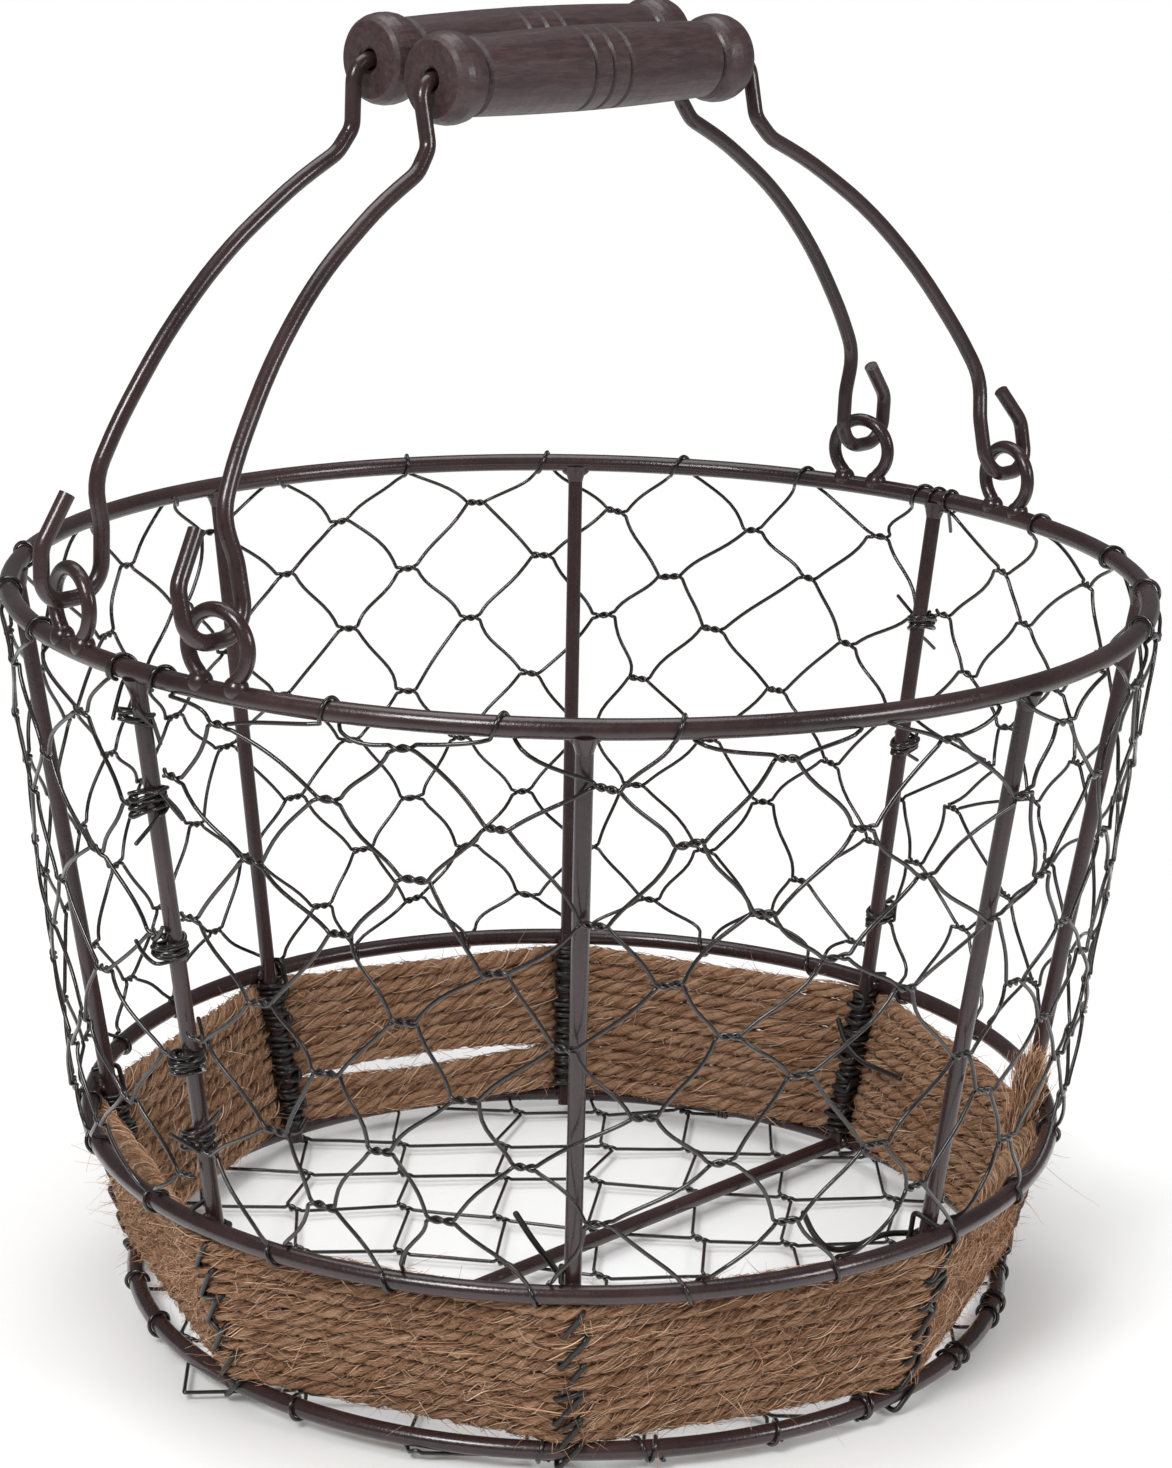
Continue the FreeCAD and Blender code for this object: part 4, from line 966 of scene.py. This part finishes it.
for k in range(-8, 7):
    pts = []
    for j in range(-8, 6):
        key = (k, j) if (k + j) % 2 == 0 else (k + 1, j)
        if key not in floor_nodes:
            continue
        x, y = floor_nodes[key]
        if math.hypot(x, y) > 116.0:
            pts.append(np.array([[x, y, FLOOR_Z]]))
            continue
        start = math.pi if key[0] == k + 1 else 0.0
        tl = np.random.default_rng(1000 + 37 * key[0] + key[1]).uniform(4.8, 6.4)
        tw = twist(np.array([x, y, FLOOR_Z + 0.25]), np.array([0.0, 1.0, 0.0]), np.array([1.0, 0, 0]), np.array([0, 0, 1.0]),
                   tl, 1.15, start, NET_T * 1.0, 21)
        tw[:, 2] = np.maximum(tw[:, 2] - 0.25, 1.45)
        pts.append(tw)
    if not pts:
        continue
    p = resample(np.concatenate(pts), 0.45)
    inside_ring = np.hypot(p[:, 0], p[:, 1]) < LOW_R - 0.4
    if inside_ring.sum() < 12:
        continue
    first, last = np.argmax(inside_ring), len(p) - 1 - np.argmax(inside_ring[::-1])
    p = p[first:last + 1]
    m = len(p)
    sag = np.array([wobble(p[:, 1], 46.0, 0.28, 900 + k)]).T
    mid = np.exp(-(p[:, 1] / 9.0) ** 2)
    p[:, 2] += np.where(sag[:, 0] > 0, sag[:, 0], sag[:, 0] * 0.4) * (1 - mid) * smooth((LOW_R - 6 - np.hypot(p[:, 0], p[:, 1])) / 6.0)
    for end_ in (0, 1):
        q = p[0] if end_ == 0 else p[-1]
        a_q = math.degrees(math.atan2(q[1], q[0]))
        w = ring_wrap(a_q, a_q + r_floor.choice([-1, 1]) * r_floor.uniform(1.0, 2.0), LOW_R, LOW_Z, LOW_T, -95.0, r_floor.uniform(230.0, 410.0), 24)
        p = np.concatenate([w[::-1], p]) if end_ == 0 else np.concatenate([p, w])
    p = chaikin(p, 1)
    p[:, 2] = np.maximum(p[:, 2], 0.55)
    floor.add(p, NET_T, sides=8)
# a few coils of loose wire round the base ring
for a_c, turns_c in ((124.0, 4.0), (133.0, 3.0), (-60.0, 2.0), (20.0, 2.5)):
    w = ring_wrap(a_c, a_c + 0.55 * turns_c, LOW_R, LOW_Z, LOW_T, 120.0, 360.0 * turns_c, int(26 * turns_c))
    floor.add(w, NET_T, sides=8)
floor.mesh("netting_floor_woven", netting_wire, "basket", ["netting_floor"], "netting_wire")

# ------------------------------------------------------------------ weld beads where wires meet
def bead(soup_v, soup_f, centre, radii, axes, seed, detail=18):
    r_ = np.random.default_rng(seed)
    th = np.linspace(0, math.pi, detail)
    ph = np.linspace(0, TAU, detail * 2, endpoint=False)
    T, P = np.meshgrid(th, ph, indexing="ij")
    d = np.stack([np.sin(T) * np.cos(P), np.sin(T) * np.sin(P), np.cos(T)], -1)
    k = r_.normal(0, 1, (4, 3)) * 1.9
    lump = sum(np.sin(d @ k[i] + r_.uniform(0, TAU)) for i in range(4)) * 0.05
    p = d * (1 + lump[..., None])
    pts = centre + (p * np.array(radii)) @ np.array(axes)
    base = sum(len(v) for v in soup_v)
    soup_v.append(pts.reshape(-1, 3))
    m = detail * 2
    for i in range(detail - 1):
        for j in range(m):
            soup_f.append((base + i * m + j, base + (i + 1) * m + j, base + (i + 1) * m + (j + 1) % m, base + i * m + (j + 1) % m))


bv, bf = [], []
for k in range(8):
    az_k = 45.0 * k - 135.0
    a = math.radians(az_k)
    e_r, e_t, e_z = np.array([math.cos(a), math.sin(a), 0]), np.array([-math.sin(a), math.cos(a), 0]), np.array([0, 0, 1.0])
    bead(bv, bf, e_r * (RIM_R - 0.25) + e_z * (RIM_Z - 1.9), (1.9, 3.6, 1.9), (e_r, e_t, e_z), 300 + k)
    bead(bv, bf, e_r * (MID_R - 2.3) + e_z * MID_Z, (1.7, 2.7, 1.9), (e_r, e_t, e_z), 320 + k)
    bead(bv, bf, e_r * (LOW_R - 2.3) + e_z * (LOW_Z + 0.2), (1.7, 2.6, 1.8), (e_r, e_t, e_z), 340 + k)
for j, base_az in enumerate((180 - 10.5, 180 + 10.5, 10.5, -10.5)):
    for i, off in enumerate((-5.0, 5.0)):
        az_k = base_az + math.degrees(off / RIM_R)
        a = math.radians(az_k)
        e_r, e_t, e_z = np.array([math.cos(a), math.sin(a), 0]), np.array([-math.sin(a), math.cos(a), 0]), np.array([0, 0, 1.0])
        bead(bv, bf, e_r * RIM_R + e_z * (RIM_Z + 1.9), (2.2, 2.5, 1.9), (e_r, e_t, e_z), 360 + 2 * j + i)
me = bpy.data.meshes.new("weld_beads")
me.from_pydata([tuple(x) for x in np.concatenate(bv) * 0.001], [], bf)
me.validate()
for poly in me.polygons:
    poly.use_smooth = True
me.materials.append(coated_wire)
ob = bpy.data.objects.new("weld_beads", me)
bpy.context.scene.collection.objects.link(ob)
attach(ob, "basket")

# ------------------------------------------------------------------ stage, light, camera
def stage_floor():
    me = bpy.data.meshes.new("studio_floor")
    s = 6.0
    me.from_pydata([(-s, -s, -0.0006), (s, -s, -0.0006), (s, s, -0.0006), (-s, s, -0.0006)], [], [(0, 1, 2, 3)])
    ob = bpy.data.objects.new("studio_floor", me)
    bpy.context.scene.collection.objects.link(ob)
    m = Mat("pale_floor")
    pos = m.node("ShaderNodeTexCoord").outputs["Object"]
    soft = m.noise(pos, 3.0, 2.0)
    m.set(Base_Color=m.mix(soft, lin(240, 240, 240), lin(246, 246, 246)), Roughness=0.75)
    m.b.inputs["Specular IOR Level"].default_value = 0.2
    away = m.node("ShaderNodeVectorMath", operation="LENGTH")
    m.link(pos, away.inputs[0])
    glow = m.node("ShaderNodeEmission")
    glow.inputs["Color"].default_value = (1, 1, 1, 1)
    rays = m.node("ShaderNodeLightPath")
    m.link(m.span(rays.outputs["Is Glossy Ray"], 0.0, 1.0, 1.0, 0.3), glow.inputs["Strength"])
    blend = m.node("ShaderNodeMixShader")
    m.link(m.span(away.outputs["Value"], 0.22, 0.75, 0.0, 1.0), blend.inputs[0])
    m.link(m.b.outputs[0], blend.inputs[1])
    m.link(glow.outputs[0], blend.inputs[2])
    m.link(blend.outputs[0], m.t.nodes["Material Output"].inputs["Surface"])
    me.materials.append(m.m)
    ob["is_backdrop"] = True


stage_floor()
scene = bpy.context.scene
world = bpy.data.worlds.new("studio") if scene.world is None else scene.world
scene.world = world
world.use_nodes = True
bg = world.node_tree.nodes.get("Background") or world.node_tree.nodes.new("ShaderNodeBackground")
bg.inputs["Color"].default_value = (1.0, 1.0, 1.0, 1.0)
wt = world.node_tree
rays = wt.nodes.new("ShaderNodeLightPath")
seen = wt.nodes.new("ShaderNodeMapRange")       # what the camera sees, and what lights matt surfaces
seen.inputs["To Min"].default_value = 0.66
seen.inputs["To Max"].default_value = 1.0
wt.links.new(rays.outputs["Is Camera Ray"], seen.inputs["Value"])
shine = wt.nodes.new("ShaderNodeMapRange")      # what shows in glossy surfaces
shine.inputs["To Min"].default_value = 1.0
shine.inputs["To Max"].default_value = 0.22
wt.links.new(rays.outputs["Is Glossy Ray"], shine.inputs["Value"])
both = wt.nodes.new("ShaderNodeMath")
both.operation = "MULTIPLY"
wt.links.new(seen.outputs["Result"], both.inputs[0])
wt.links.new(shine.outputs["Result"], both.inputs[1])
wt.links.new(both.outputs[0], bg.inputs["Strength"])


def area(name, where, aim, size, power, colour=(1, 1, 1)):
    light = bpy.data.lights.new(name, "AREA")
    light.shape = "RECTANGLE"
    light.size, light.size_y = size
    light.energy = power
    light.color = colour
    ob = bpy.data.objects.new(name, light)
    bpy.context.scene.collection.objects.link(ob)
    ob.location = where
    ob.rotation_euler = (Vector(aim) - Vector(where)).to_track_quat("-Z", "Y").to_euler()
    return ob


area("key", (-1.25, -0.35, 1.25), (0, 0, 0.14), (0.5, 0.5), 16.0)
area("fill", (0.35, -1.35, 0.75), (0, 0, 0.12), (0.4, 0.4), 6.0)
area("top", (0.15, 0.35, 1.6), (0, 0, 0.1), (1.1, 1.1), 9.0)

cam_data = bpy.data.cameras.new("photo_camera")
cam = bpy.data.objects.new("photo_camera", cam_data)
bpy.context.scene.collection.objects.link(cam)
down = math.radians(15.88)
fwd_h = Vector((0.716, 0.698, 0.0)).normalized()
forward = fwd_h * math.cos(down) + Vector((0, 0, -1)) * math.sin(down)
right0 = Vector((fwd_h.y, -fwd_h.x, 0.0))
up0 = right0.cross(forward)
roll = math.radians(1.12)
right = right0 * math.cos(roll) + up0 * math.sin(roll)
up = right.cross(forward)
cam.matrix_world = Matrix((
    (right.x, up.x, -forward.x, -0.6146),
    (right.y, up.y, -forward.y, -0.5992),
    (right.z, up.z, -forward.z, 0.3898),
    (0, 0, 0, 1)))
cam_data.sensor_width = 36.0
cam_data.sensor_fit = "AUTO"
cam_data.lens = 87.08
cam_data.shift_x = 0.00627
cam_data.shift_y = 0.0
cam_data.clip_start = 0.01
cam_data.clip_end = 50.0
scene.camera = cam
scene.view_settings.view_transform = "Standard"
scene.view_settings.look = "None"
scene.view_settings.exposure = 0.0


def plain(value):
    if isinstance(value, (int, float, str)) or value is None:
        return value
    if isinstance(value, dict):
        return {k: plain(v) for k, v in value.items()}
    return [plain(v) for v in value]


{"cad": plain(START_BOUNDS), "visual": plain(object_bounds())}
